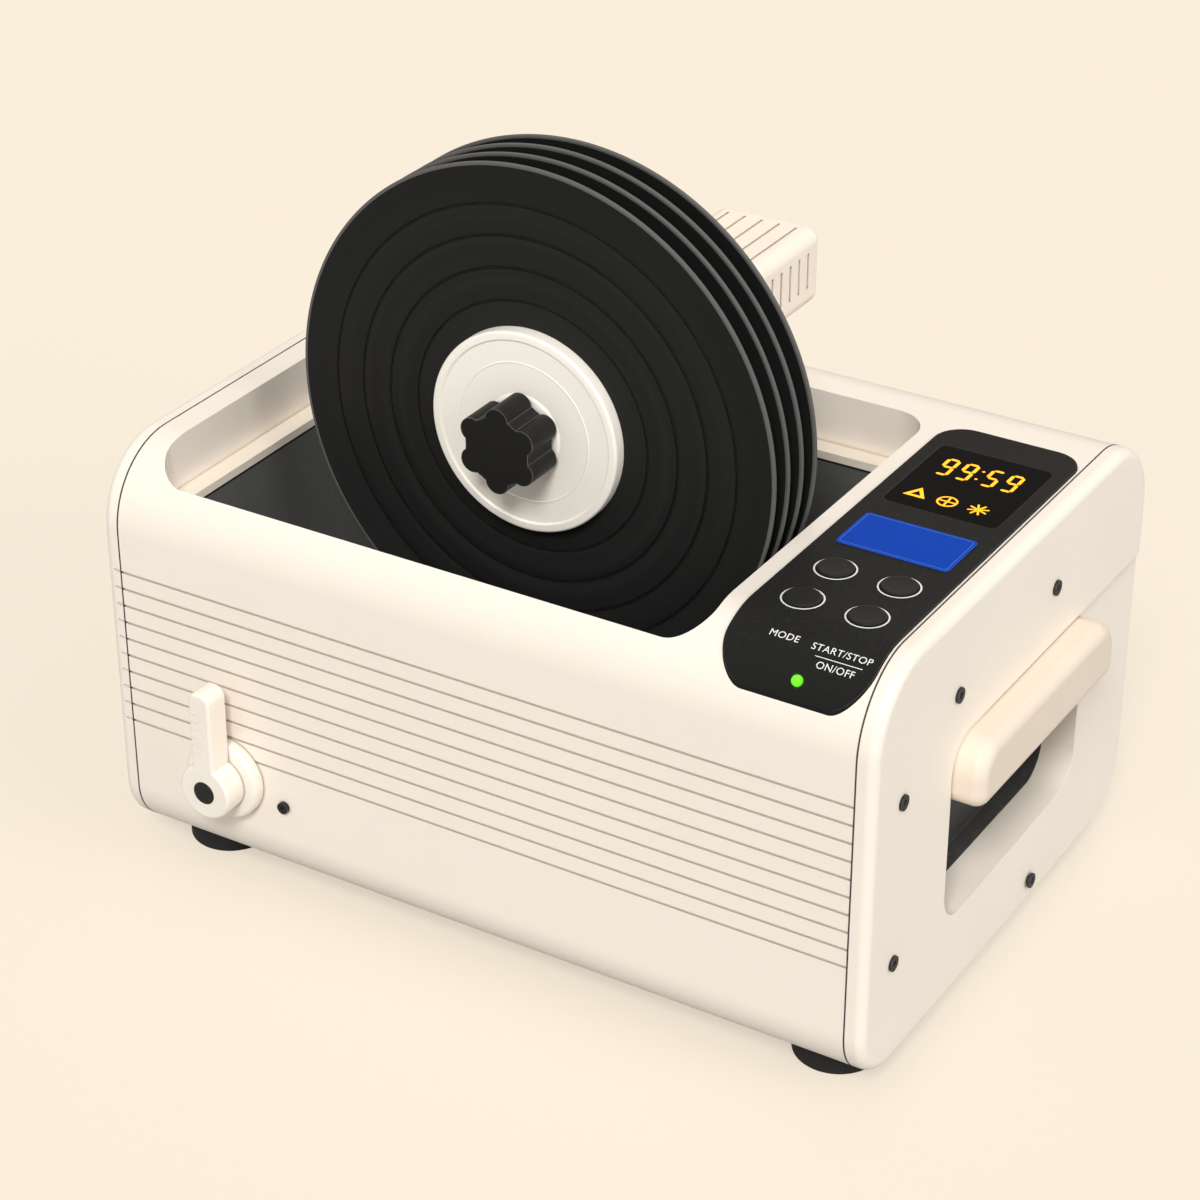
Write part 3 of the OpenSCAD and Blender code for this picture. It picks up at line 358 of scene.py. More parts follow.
def buildCreviceShade():  # mask of grooves and tight corners, where painted shade darkens the colour
    group, given, out = startGroup(
        "creviceShade", [("Distance", "Float", 0.003), ("Amount", "Float", 0.7)], [("Mask", "Float")])
    shade = group.nodes.new("ShaderNodeAmbientOcclusion")
    shade.samples = 6
    group.links.new(given.outputs["Distance"], shade.inputs["Distance"])
    closed = addMath(group, "MULTIPLY", addMath(group, "SUBTRACT", 0.8, shade.outputs["AO"]), 2.2, clamp=True)
    mask = addMath(group, "MULTIPLY", closed, given.outputs["Amount"], clamp=True)
    group.links.new(mask, out.inputs["Mask"])
    return group


def buildBrushing():  # fine lines along one direction, as on rolled or brushed sheet
    group, given, out = startGroup(
        "brushing", [("Vector", "Vector", None), ("Stretch", "Vector", (20, 900, 900))],
        [("Line", "Float"), ("Broad", "Float")])
    scaled = group.nodes.new("ShaderNodeVectorMath")
    scaled.operation = "MULTIPLY"
    group.links.new(given.outputs["Vector"], scaled.inputs[0])
    group.links.new(given.outputs["Stretch"], scaled.inputs[1])
    group.links.new(addNoise(group, scaled.outputs[0], 1.0, 3), out.inputs["Line"])
    group.links.new(addNoise(group, scaled.outputs[0], 0.12, 2), out.inputs["Broad"])
    return group


def buildTurning():  # rings about the spindle, fine and broad, for records and turned plastic
    group, given, out = startGroup(
        "turnedRings",
        [("Vector", "Vector", None), ("Fine Scale", "Float", 1500), ("Broad Scale", "Float", 160)],
        [("Fine", "Float"), ("Broad", "Float"), ("Radius", "Float")])
    flat = group.nodes.new("ShaderNodeVectorMath")
    flat.operation = "MULTIPLY"
    flat.inputs[1].default_value = (1, 0, 1)
    group.links.new(given.outputs["Vector"], flat.inputs[0])
    length = group.nodes.new("ShaderNodeVectorMath")
    length.operation = "LENGTH"
    group.links.new(flat.outputs[0], length.inputs[0])
    for label, scale in (("Fine", "Fine Scale"), ("Broad", "Broad Scale")):
        noise = group.nodes.new("ShaderNodeTexNoise")
        noise.noise_dimensions = "1D"
        noise.inputs["Detail"].default_value = 2
        noise.inputs["Scale"].default_value = 1
        reach = addMath(group, "MULTIPLY", length.outputs["Value"], given.outputs[scale])
        group.links.new(reach, noise.inputs["W"])
        group.links.new(noise.outputs["Fac"], out.inputs[label])
    group.links.new(length.outputs["Value"], out.inputs["Radius"])
    return group


groups = {"grain": buildGrain(), "wearAndHighlight": buildWornAndLitEdges(), "dust": buildDust(), "crevice": buildCreviceShade(),
          "brushing": buildBrushing(), "turning": buildTurning()}
print("node groups:", ", ".join(groups))


def placeGroup(tree, key, **values):
    node = tree.nodes.new("ShaderNodeGroup")
    node.node_tree = groups[key]
    for label, value in values.items():
        socket = node.inputs[label.replace("_", " ")]
        if isinstance(value, (int, float, tuple)):
            socket.default_value = value
        else:
            tree.links.new(value, socket)
    return node.outputs


# Finishes, one for each material slot of the record. Colours are screen values.
# tone: how far the colour varies; patch and grain: scales of the variation; bump: depth in mm;
# worn: share of lighter edges, partly wear and partly painted highlight; groove: share of painted shade in
# hollows; brushed: scales of the fine lines
plain = {"rough": 0.45, "spread": 0.12, "tone": 0.04, "patch": 14, "grain": 900, "bump": 0.02,
         "wornAndLit": 0.0, "wornAndLitColour": None, "groove": 0.0, "grooveColour": (150, 128, 102),
         "dust": 0.0, "dustColour": (205, 198, 188), "metal": 0.0, "brushed": None, "streakDrop": 46,
         "specular": 0.5, "coat": 0.0, "coatRough": 0.25, "glow": None}
finishes = {
    "cream_shell": {"colour": (248, 238, 226), "rough": 0.36, "tone": 0.025, "patch": 7, "grain": 1400,
                    "bump": 0.02, "wornAndLit": 0.35, "wornAndLitColour": (255, 250, 242), "groove": 0.85,
                    "dust": 0.05, "coat": 0.15},
    "cream_cap": {"colour": (248, 238, 226), "rough": 0.44, "tone": 0.03, "patch": 9, "grain": 1000,
                  "bump": 0.04, "wornAndLit": 0.35, "wornAndLitColour": (255, 250, 242), "groove": 0.6, "dust": 0.05},
    # painted shade: the grip's cream is darker than the shell's, for the shade that falls on the grip
    "cream_grip": {"colour": (234, 219, 202), "rough": 0.5, "tone": 0.04, "patch": 16, "grain": 750,
                   "bump": 0.06, "wornAndLit": 0.4, "wornAndLitColour": (253, 244, 232), "groove": 0.5, "dust": 0.04},
    "cream_bezel": {"colour": (247, 235, 219), "rough": 0.4, "tone": 0.03, "wornAndLit": 0.3,
                    "wornAndLitColour": (255, 249, 240), "groove": 0.3},
    "cream_lever": {"colour": (248, 239, 227), "rough": 0.33, "tone": 0.03, "patch": 30, "grain": 1100,
                    "bump": 0.03, "wornAndLit": 0.4, "wornAndLitColour": (255, 253, 248), "groove": 0.75, "coat": 0.2},
    "cream_motor_box": {"colour": (250, 238, 223), "rough": 0.46, "tone": 0.03, "patch": 18, "grain": 1000,
                        "bump": 0.05, "wornAndLit": 0.35, "wornAndLitColour": (255, 250, 242), "groove": 0.9,
                        "dust": 0.08},
    # painted light: the guard's cream is lighter than the shell's, to make up for the bounce light it lacks
    "cream_guard": {"colour": (255, 250, 240), "rough": 0.4, "tone": 0.03, "patch": 22, "grain": 1200,
                    "bump": 0.02, "wornAndLit": 0.35, "wornAndLitColour": (255, 251, 244), "groove": 0.55},
    "inner_steel": {"colour": (186, 188, 190), "rough": 0.38, "metal": 1.0, "brushed": (20, 900, 900)},
    "bright_steel": {"colour": (200, 202, 204), "rough": 0.2, "metal": 1.0, "tone": 0.05, "bump": 0.005,
                     "brushed": (900, 14, 900)},
    "black_screws": {"colour": (36, 36, 37), "rough": 0.4, "metal": 0.6, "tone": 0.15, "patch": 90,
                     "wornAndLit": 0.5, "wornAndLitColour": (120, 120, 122)},
    "dark_plastic": {"colour": (60, 60, 60), "rough": 0.52, "tone": 0.08, "grain": 700, "bump": 0.08,
                     "wornAndLit": 0.3, "wornAndLitColour": (98, 97, 95), "dust": 0.1, "specular": 0.25},
    "black_rubber": {"colour": (33, 33, 34), "rough": 0.68, "tone": 0.12, "patch": 40, "grain": 600,
                     "bump": 0.08, "wornAndLit": 0.35, "wornAndLitColour": (74, 73, 71), "specular": 0.3, "dust": 0.1},
    "dark_tank": {"colour": (122, 122, 121), "rough": 0.42, "metal": 0.3, "tone": 0.1, "patch": 10,
                  "bump": 0.015, "brushed": (18, 700, 160), "specular": 0.4},
    "aluminium_parts": {"colour": (207, 209, 211), "rough": 0.35, "metal": 1.0, "brushed": (30, 700, 700)},
    "piezo_ceramic": {"colour": (216, 210, 189), "rough": 0.6},
    "heater_silicone": {"colour": (181, 85, 47), "rough": 0.7, "bump": 0.08, "grain": 500},
    "brass_fittings": {"colour": (190, 160, 88), "rough": 0.3, "metal": 1.0, "tone": 0.1, "wornAndLit": 0.3,
                       "wornAndLitColour": (226, 202, 136)},
    "black_gloss": {"colour": (20, 20, 21), "rough": 0.22, "tone": 0.1, "specular": 0.4},
    "black_panel": {"colour": (33, 33, 33), "rough": 0.46, "tone": 0.1, "patch": 10, "grain": 1500,
                    "bump": 0.02, "wornAndLit": 0.6, "wornAndLitColour": (96, 95, 93), "specular": 0.03, "dust": 0.02},
    "display_glass": {"colour": (11, 11, 12), "rough": 0.2, "spread": 0.06, "tone": 0.2, "bump": 0.004,
                      "specular": 0.015, "wornAndLit": 0.4, "wornAndLitColour": (60, 62, 64)},
    "blue_label": {"colour": (4, 66, 179), "rough": 0.34, "tone": 0.06, "patch": 24, "grain": 1300,
                   "wornAndLit": 0.5, "wornAndLitColour": (70, 128, 222), "specular": 0.03},
    "black_button": {"colour": (29, 29, 30), "rough": 0.45, "tone": 0.1, "grain": 900, "bump": 0.05,
                     "wornAndLit": 0.5, "wornAndLitColour": (84, 83, 82), "specular": 0.12},
    "circuit_board": {"colour": (29, 91, 52), "rough": 0.35, "tone": 0.15, "patch": 60, "coat": 0.4},
    "capacitor_sleeve": {"colour": (34, 48, 74), "rough": 0.3},
    "copper_winding": {"colour": (196, 132, 66), "rough": 0.35, "metal": 0.9, "brushed": (700, 700, 40)},
    "spacer_plastic": {"colour": (64, 64, 62), "rough": 0.5, "tone": 0.08, "bump": 0.05},
    "black_knob": {"colour": (26, 26, 26), "rough": 0.46, "tone": 0.1, "patch": 40, "grain": 900,
                   "bump": 0.05, "wornAndLit": 0.9, "wornAndLitColour": (122, 121, 119), "specular": 0.15},
    "green_lamp": {"colour": (90, 235, 20), "rough": 0.18, "tone": 0.02, "glow": ((90, 240, 20), 1.1)},
}


def makeFinish(name, look):
    look = {**plain, **look}
    material = bpy.data.materials.new(name)
    material.use_nodes = True
    tree = material.node_tree
    shader = next(n for n in tree.nodes if n.type == "BSDF_PRINCIPLED")
    place = tree.nodes.new("ShaderNodeTexCoord").outputs["Object"]
    grain = placeGroup(tree, "grain", Vector=place, Color=tint(*look["colour"]), Tone=look["tone"] * 2,
                       Patch_Scale=look["patch"], Grain_Scale=look["grain"], Roughness=look["rough"],
                       Roughness_Spread=look["spread"])
    colour, rough, height = grain["Color"], grain["Roughness"], grain["Height"]
    if look["brushed"]:
        lines = placeGroup(tree, "brushing", Vector=place, Stretch=look["brushed"])
        streak = addMath(tree, "MULTIPLY", lines["Line"], 0.5)
        darker = tint(*(max(0, value - look["streakDrop"]) for value in look["colour"]))
        colour = addMix(tree, streak, colour, darker)
        change = addMath(tree, "MULTIPLY", addMath(tree, "SUBTRACT", lines["Broad"], 0.5), 0.25)
        rough = addMath(tree, "ADD", rough, change, True)
        height = lines["Line"]
    # painted shade: the colour turns brown in grooves and corners that ambient occlusion finds
    if look["groove"]:
        crevice = placeGroup(tree, "crevice", Amount=look["groove"])
        colour = addMix(tree, crevice["Mask"], colour, tint(*look["grooveColour"]))
    # lighter edges: partly wear, partly a painted highlight
    if look["wornAndLit"]:
        wearAndHighlight = placeGroup(tree, "wearAndHighlight", Vector=place, Amount=look["wornAndLit"])
        colour = addMix(tree, wearAndHighlight["Mask"], colour, tint(*look["wornAndLitColour"]))
    if look["dust"]:
        dust = placeGroup(tree, "dust", Vector=place, Amount=look["dust"])
        colour = addMix(tree, dust["Mask"], colour, tint(*look["dustColour"]))
        rough = addMath(tree, "ADD", rough, addMath(tree, "MULTIPLY", dust["Mask"], 0.4), True)
    tree.links.new(colour, shader.inputs["Base Color"])
    tree.links.new(rough, shader.inputs["Roughness"])
    shader.inputs["Metallic"].default_value = look["metal"]
    shader.inputs["Specular IOR Level"].default_value = look["specular"]
    shader.inputs["Coat Weight"].default_value = look["coat"]
    shader.inputs["Coat Roughness"].default_value = look["coatRough"]
    if look["bump"]:
        bump = tree.nodes.new("ShaderNodeBump")
        bump.inputs["Strength"].default_value = 0.5
        bump.inputs["Distance"].default_value = look["bump"] / 1000
        tree.links.new(height, bump.inputs["Height"])
        tree.links.new(bump.outputs[0], shader.inputs["Normal"])
    if look["glow"]:
        shader.inputs["Emission Color"].default_value = tint(*look["glow"][0])
        shader.inputs["Emission Strength"].default_value = look["glow"][1]
    return material


recordLook = {"sides": 224, "thick": 0.0024, "edge": 0.0007, "bead": 0.0021, "beadDrop": 0.00035,
              "beadSlope": 0.0006, "gapWidth": 0.0014, "gapDepth": 0.0003,
              "labelRadius": 0.0505, "labelSlope": 0.001, "hole": 0.0036}
vinylLook = {"colour": (36, 36, 36), "bandColour": (41, 41, 40), "ringColour": (4, 4, 4),
             "rimHighlightColour": (98, 97, 95), "dustColour": (140, 136, 130), "rimWidth": 0.0020,
             "lineSharp": 4000, "rimHighlightSharp": 3000, "wornAndLit": 0.55, "wornAndLitReach": 0.0008, "dust": 0.1,
             "rough": 0.42, "bump": 0.015, "specular": 0.06}
trackGaps = (0.1279, 0.1102, 0.0920, 0.0735)  # radii of the bare rings between tracks


def makeVinyl():  # rings of finer and coarser grooves about the spindle
    low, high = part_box("records")
    centre = (low + high) / 2
    material = bpy.data.materials.new("record_vinyl")
    material.use_nodes = True
    tree = material.node_tree
    shader = next(n for n in tree.nodes if n.type == "BSDF_PRINCIPLED")
    mapping = tree.nodes.new("ShaderNodeMapping")
    mapping.inputs["Location"].default_value = -centre
    tree.links.new(tree.nodes.new("ShaderNodeTexCoord").outputs["Object"], mapping.inputs[0])
    rings = placeGroup(tree, "turning", Vector=mapping.outputs[0])
    wearAndHighlight = placeGroup(tree, "wearAndHighlight", Vector=mapping.outputs[0], Amount=vinylLook["wornAndLit"],
                      Radius=vinylLook["wornAndLitReach"])
    dust = placeGroup(tree, "dust", Vector=mapping.outputs[0], Amount=vinylLook["dust"])
    broad = addMath(tree, "MULTIPLY", addMath(tree, "SUBTRACT", rings["Broad"], 0.35), 1.3, True)
    colour = addMix(tree, broad, tint(*vinylLook["colour"]), tint(*vinylLook["bandColour"]))
    for radius in trackGaps:  # a dark line where the cut stops between two tracks
        away = addMath(tree, "ABSOLUTE", addMath(tree, "SUBTRACT", rings["Radius"], radius), 0.0)
        left = addMath(tree, "SUBTRACT", recordLook["gapWidth"] * 0.6, away)
        line = addMath(tree, "MULTIPLY", left, vinylLook["lineSharp"], True)
        colour = addMix(tree, line, colour, tint(*vinylLook["ringColour"]))
    # painted highlight: a lighter band round the rim of each record, with the lighter worn edges in the same
    # colour
    past = addMath(tree, "SUBTRACT", rings["Radius"], (high.x - low.x) / 2 - vinylLook["rimWidth"])
    rim = addMath(tree, "MULTIPLY", past, vinylLook["rimHighlightSharp"], True)
    for mask, name in ((rim, "rimHighlightColour"), (wearAndHighlight["Mask"], "rimHighlightColour"), (dust["Mask"], "dustColour")):
        colour = addMix(tree, mask, colour, tint(*vinylLook[name]))
    change = addMath(tree, "MULTIPLY", addMath(tree, "SUBTRACT", rings["Broad"], 0.5), 0.3)
    rough = addMath(tree, "ADD", change, vinylLook["rough"], True)
    bump = tree.nodes.new("ShaderNodeBump")
    bump.inputs["Strength"].default_value = 0.6
    bump.inputs["Distance"].default_value = vinylLook["bump"] / 1000
    tree.links.new(rings["Fine"], bump.inputs["Height"])
    tree.links.new(colour, shader.inputs["Base Color"])
    tree.links.new(rough, shader.inputs["Roughness"])
    tree.links.new(bump.outputs[0], shader.inputs["Normal"])
    shader.inputs["Specular IOR Level"].default_value = vinylLook["specular"]
    return material


materials = {slot: makeFinish(slot, look) for slot, look in finishes.items()}
materials["record_vinyl"] = makeVinyl()
prints = {
    "whitePrint": {"colour": (240, 240, 236), "rough": 0.5, "tone": 0.05, "patch": 200},
    "amberLight": {"colour": (255, 176, 0), "rough": 0.4, "tone": 0.05, "glow": ((255, 172, 0), 0.9)},
    "sealRubber": {"colour": (52, 48, 44), "rough": 0.6, "tone": 0.1},
    "labelLine": {"colour": (58, 112, 210), "rough": 0.4, "tone": 0.05},
}
for name, look in prints.items():
    materials[name] = makeFinish(name, look)
print("materials:", len(materials))


# CAD nodes: finish for each, and softened edges for those that show
softEdges = {  # edge radius in mm
    "housing_shell": 0.45, "left_end_cap": 0.5, "right_end_cap": 0.5, "tank_bezel": 0.6, "motor_box": 0.4,
    "motor_box_cover": 0.5, "left_grip": 0.6, "right_grip": 0.6,
    "left_hand_pocket": 0.5, "right_hand_pocket": 0.5,
    "valve_lever": 0.35, "valve_boss": 0.4, "lever_plug": 0.5, "control_panel": 0.3, "display_window": 0.15,
    "label_plate": 0.25, "clamp_knob": 1.6, "m5_screws": 0.3, "m4_screws": 0.3, "rubber_feet": 0.6,
    "power_inlet": 0.4, "clamp_washer": 0.3, "spindle_rod": 0.3, "motor_bracket": 0.3, "drain_spout": 0.4,
    "spindle_bushing": 0.3, "tank": 0.3,
}
edgeLook = {"weld": 0.000005, "flatDegrees": 0.6, "segments": 2, "edgeDegrees": 32}


def softenEdges(node, width):
    pickOnly(node)
    bpy.ops.mesh.customdata_custom_splitnormals_clear()
    bpy.ops.object.shade_smooth()
    weld = node.modifiers.new("weld", "WELD")
    weld.merge_threshold = edgeLook["weld"]
    flat = node.modifiers.new("flatFaces", "DECIMATE")
    flat.decimate_type, flat.angle_limit = "DISSOLVE", math.radians(edgeLook["flatDegrees"])
    edge = node.modifiers.new("softEdge", "BEVEL")
    edge.width, edge.segments, edge.limit_method = width / 1000, edgeLook["segments"], "ANGLE"
    edge.angle_limit, edge.use_clamp_overlap = math.radians(edgeLook["edgeDegrees"]), True
    even = node.modifiers.new("evenNormals", "WEIGHTED_NORMAL")
    even.keep_sharp = True


def dressNodes():
    for name, node in nodes.items():
        node.data.materials.clear()
        node.data.materials.append(materials[slotOf[name]])
        if name in softEdges:
            softenEdges(node, softEdges[name])


# Records
def makeRecords():
    low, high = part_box("records")
    centre, radius = (low + high) / 2, (high.x - low.x) / 2
    thick = recordLook["thick"]
    names = ("recordOne", "recordTwo", "recordThree", "recordFour")
    pitch = (high.y - low.y - thick) / (len(names) - 1)
    pickOnly(None)
    bpy.ops.mesh.primitive_cylinder_add(vertices=recordLook["sides"], radius=radius, depth=thick,
                                        location=(centre.x, low.y + thick / 2, centre.z),
                                        rotation=(math.pi / 2, 0, 0))
    disc = bpy.context.object
    keepPlace(disc)
    bevelWhere(disc, lambda e: abs((e.verts[0].co - e.verts[1].co).y) < samePlace, recordLook["edge"], 3)
    edit(disc)
    pickWhere(disc, "faces", lambda f: len(f.verts) > manyCorners)
    here = radius - recordLook["edge"]
    bead, drop = radius - recordLook["bead"], recordLook["beadDrop"]
    steps = [(bead, 0), (bead - recordLook["beadSlope"], -drop)]
    for ring in trackGaps:
        half = recordLook["gapWidth"] / 2
        steps += [(ring + half, 0), (ring, -recordLook["gapDepth"]), (ring - half, recordLook["gapDepth"])]
    label = recordLook["labelRadius"]
    steps += [(label + recordLook["labelSlope"], 0), (label, drop), (recordLook["hole"], 0)]
    for reach, rise in steps:
        bpy.ops.mesh.inset(thickness=here - reach, depth=rise)
        here = reach
    bpy.ops.mesh.delete(type="FACE")
    bpy.ops.mesh.select_mode(type="EDGE")
    pickWhere(disc, "edges", lambda e: len(e.link_faces) == 1)
    bpy.ops.mesh.bridge_edge_loops()
    first = finishPiece(disc, names[0], "spindle", "record_vinyl", ("records",), 35)
    for i, name in enumerate(names[1:], 1):
        copyPiece(first, name, (0, pitch * i, 0), "spindle", ("records",))


# Label guards
guardLook = {"sides": 160, "edge": 0.0016, "recess": 0.0010, "bore": 0.0040,
             "rimWidth": 0.0052, "rimEdge": 0.0006, "rimFoot": 0.0005,
             "line": 0.0410, "lineHalf": 0.0002, "lineSlope": 0.0004, "lineDeep": 0.00028,
             "hubRadius": 0.022, "hubFoot": 0.0012, "hubSide": 0.0004, "hubEdge": 0.0006}


def makeGuard(node, name, front):
    low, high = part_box(node)
    centre, radius = (low + high) / 2, (high.x - low.x) / 2
    pickOnly(None)
    bpy.ops.mesh.primitive_cylinder_add(vertices=guardLook["sides"], radius=radius, depth=high.y - low.y,
                                        location=centre, rotation=(math.pi / 2, 0, 0))
    disc = bpy.context.object
    keepPlace(disc)
    outer = low.y if front else high.y
    bevelWhere(disc, lambda e: all(abs(v.co.y - outer) < samePlace for v in e.verts), guardLook["edge"], 5)
    edit(disc)
    pickWhere(disc, "faces",
              lambda f: len(f.verts) > manyCorners and abs(f.calc_center_median().y - outer) < samePlace)
    here = radius - guardLook["edge"]
    drop = guardLook["recess"]
    rim, hub = radius - guardLook["rimWidth"], guardLook["hubRadius"]
    line, half = guardLook["line"], guardLook["lineHalf"]
    edge, deep = half + guardLook["lineSlope"], guardLook["lineDeep"]
    steps = [(rim + guardLook["rimEdge"], 0), (rim, -drop * 0.4), (rim - guardLook["rimFoot"], -drop * 0.6),
             (line + edge, 0), (line + half, deep), (line - half, 0), (line - edge, -deep),
             (hub + guardLook["hubFoot"], 0), (hub + guardLook["hubSide"], drop * 0.7),
             (hub - guardLook["hubEdge"], drop * 0.3), (guardLook["bore"], 0)]
    for reach, rise in steps:
        bpy.ops.mesh.inset(thickness=here - reach, depth=rise)
        here = reach
    bpy.ops.mesh.delete(type="FACE")
    pickWhere(disc, "faces", lambda f: len(f.verts) > manyCorners)
    bpy.ops.mesh.inset(thickness=radius - guardLook["bore"], depth=0)
    bpy.ops.mesh.delete(type="FACE")
    bpy.ops.mesh.select_mode(type="EDGE")
    pickWhere(disc, "edges", lambda e: len(e.link_faces) == 1)
    bpy.ops.mesh.bridge_edge_loops()
    finishPiece(disc, name, "spindle", "cream_guard", (node,), 28)


# Buttons and their printed rings
buttonLook = {"sides": 96, "radius": 0.0100, "edge": 0.0006, "dish": 0.0003, "ringInner": 0.01075,
              "ringWidth": 0.0009, "ringSunk": 0.00008, "ringThick": 0.00016,
              # steps towards the middle, each with its share of the dish
              "dishSteps": ((0.0009, 0), (0.0010, 0.35), (0.0014, 0.35), (0.0020, 0.2), (0.0024, 0.1))}
buttonBodies = {"upper_left_button": "upper_left_key", "upper_right_button": "upper_right_key",
                "lower_left_button": "lower_left_key", "lower_right_button": "lower_right_key"}


def makeButtons():
    cap = ring = None
    ringZ = panelTop - buttonLook["ringSunk"]
    for node, body in buttonBodies.items():
        low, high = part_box(node)
        centre = (low + high) / 2
        words = node.split("_")
        name = words[0] + words[1].capitalize()
        if cap is None:
            start = centre.copy()
            pickOnly(None)
            bpy.ops.mesh.primitive_cylinder_add(vertices=buttonLook["sides"], radius=buttonLook["radius"],
                                                depth=high.z - low.z, location=centre)
            cap = bpy.context.object
            keepPlace(cap)
            bevelWhere(cap, lambda e: all(v.co.z > high.z - samePlace for v in e.verts),
                       buttonLook["edge"], 4)
            edit(cap)
            pickWhere(cap, "faces", lambda f: len(f.verts) > manyCorners and f.normal.z > 0.9)
            for step, share in buttonLook["dishSteps"]:
                bpy.ops.mesh.inset(thickness=step, depth=-share * buttonLook["dish"])
            finishPiece(cap, name + "Cap", body, "black_button", (node,), 40)
            pickOnly(None)
            bpy.ops.mesh.primitive_circle_add(vertices=buttonLook["sides"], fill_type="NGON",
                                              radius=buttonLook["ringInner"] + buttonLook["ringWidth"],
                                              location=(centre.x, centre.y, ringZ))
            ring = bpy.context.object
            keepPlace(ring)
            edit(ring)
            hollowOut(buttonLook["ringWidth"])
            raiseFaces(buttonLook["ringThick"])
            finishPrint(ring, name + "Ring", "whitePrint")
        else:
            copyPiece(cap, name + "Cap", centre - start, body, (node,))
            copyPiece(ring, name + "Ring", centre - start, "housing")


def finishPrint(piece, name, ink, body="housing"):
    finishPiece(piece, name, body, "black_panel")
    piece.data.materials[0] = materials[ink]
    return piece


# Lettering and marks on the panel
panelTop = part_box("control_panel")[1].z
upperCorner, lowerCorner = 0.048, 0.034  # radii of the housing's corners
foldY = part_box("housing_shell")[0].y + upperCorner
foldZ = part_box("housing_shell")[1].z - upperCorner
foldRadius = panelTop - foldZ
letterLook = {"size": 0.0058, "thick": 0.00006, "rise": 0.00002, "spacing": 1.06, "curveSteps": 4,
              "lineX": 0.2100, "lineDegrees": 32.3, "lineLength": 0.0265, "lineWidth": 0.00042}
lettering = {  # words: place along x, degrees down the fold, size against the usual, name
    "MODE": (0.1765, 25.5, 1.0, "wordMode"),
    "START/STOP": (0.2095, 26.5, 1.0, "wordStartStop"),
    "ON/OFF": (0.2100, 37.5, 0.98, "wordOnOff"),
}


def wrapOnFold(piece, x, degrees):  # bends a flat print round the front edge of the panel
    middle = math.radians(degrees)
    for vertex in piece.data.vertices:
        u, v, w = vertex.co
        angle = middle - v / foldRadius
        radius = foldRadius + letterLook["rise"] + w
        if angle >= 0:
            vertex.co = (x + u, foldY - radius * math.sin(angle), foldZ + radius * math.cos(angle))
        else:
            vertex.co = (x + u, foldY - angle * foldRadius, foldZ + radius)


def sliceAcross(piece, step=0.0008):  # cuts a print into strips, so that it can bend
    tall = [v.co.y for v in piece.data.vertices]
    edit(piece)
    y = min(tall) + step
    while y < max(tall):
        bpy.ops.mesh.select_all(action="SELECT")
        bpy.ops.mesh.bisect(plane_co=(0, y, 0), plane_no=(0, 1, 0))
        y += step
    pickOnly(piece)


def makeLettering():
    for words, (x, degrees, share, name) in lettering.items():
        pickOnly(None)
        bpy.ops.object.text_add(location=(0, 0, 0))
        text = bpy.context.object
        text.data.body, text.data.size = words, letterLook["size"] * share
        text.data.align_x, text.data.align_y = "CENTER", "CENTER"
        text.data.extrude, text.data.resolution_u = letterLook["thick"], letterLook["curveSteps"]
        text.data.space_character = letterLook["spacing"]
        bpy.ops.object.convert(target="MESH")
        text = bpy.context.object
        sliceAcross(text)
        wrapOnFold(text, x, degrees)
        finishPrint(text, name, "whitePrint")
    pickOnly(None)
    bpy.ops.mesh.primitive_plane_add(size=1)
    line = bpy.context.object
    line.scale = (letterLook["lineLength"], letterLook["lineWidth"], 1)
    keepPlace(line)
    edit(line)
    raiseFaces(letterLook["thick"])
    pickOnly(line)
    wrapOnFold(line, letterLook["lineX"], letterLook["lineDegrees"])
    finishPrint(line, "lineUnderStart", "whitePrint")


# Display digits and lit signs
displayLook = {"text": "99:59", "digitHeight": 0.0188, "digitWidth": 0.0062, "stroke": 0.0020, "gap": 0.00025,
               "advance": 0.0118, "colonHalf": 0.0017, "dotUp": 0.0050, "dotLength": 1.1,
               "thick": 0.00008, "sunk": 0.00002,
               "digitsDown": 0.315, "signsDown": 0.80}  # the last two are shares of the window's depth
signLook = {"step": 0.0184, "shift": -0.0018, "triangle": 0.0076, "wheel": 0.0060, "line": 0.0012,
            "triangleLine": 1.7, "ray": 0.0124, "overlap": 0.0004}  # triangleLine is against the usual line
segmentsOf = {"9": "abcdfg", "5": "acdfg"}


def makeBar(length, width):  # a flat bar with pointed ends, along x
    pickOnly(None)
    bpy.ops.mesh.primitive_plane_add(size=1)
    bar = bpy.context.object
    bar.scale = (length - width, width, 1)
    keepPlace(bar)
    for side in (-1, 1):
        edit(bar, "EDGE")
        pickWhere(bar, "edges", lambda e: all(v.co.x * side > (length - width) * 0.49 for v in e.verts))
        bpy.ops.mesh.extrude_region_move(TRANSFORM_OT_translate={"value": (side * width / 2, 0, 0)})
        bpy.ops.mesh.merge(type="CENTER")
    edit(bar)
    raiseFaces(displayLook["thick"])
    pickOnly(bar)
    return bar


def placeCopy(piece, matrix):
    other = piece.copy()
    other.data = piece.data.copy()
    bpy.context.scene.collection.objects.link(other)
    other.data.transform(matrix)
    return other


def joinPieces(parts):
    pickOnly(parts[0])
    for part in parts[1:]:
        part.select_set(True)
    bpy.ops.object.join()
    return bpy.context.object


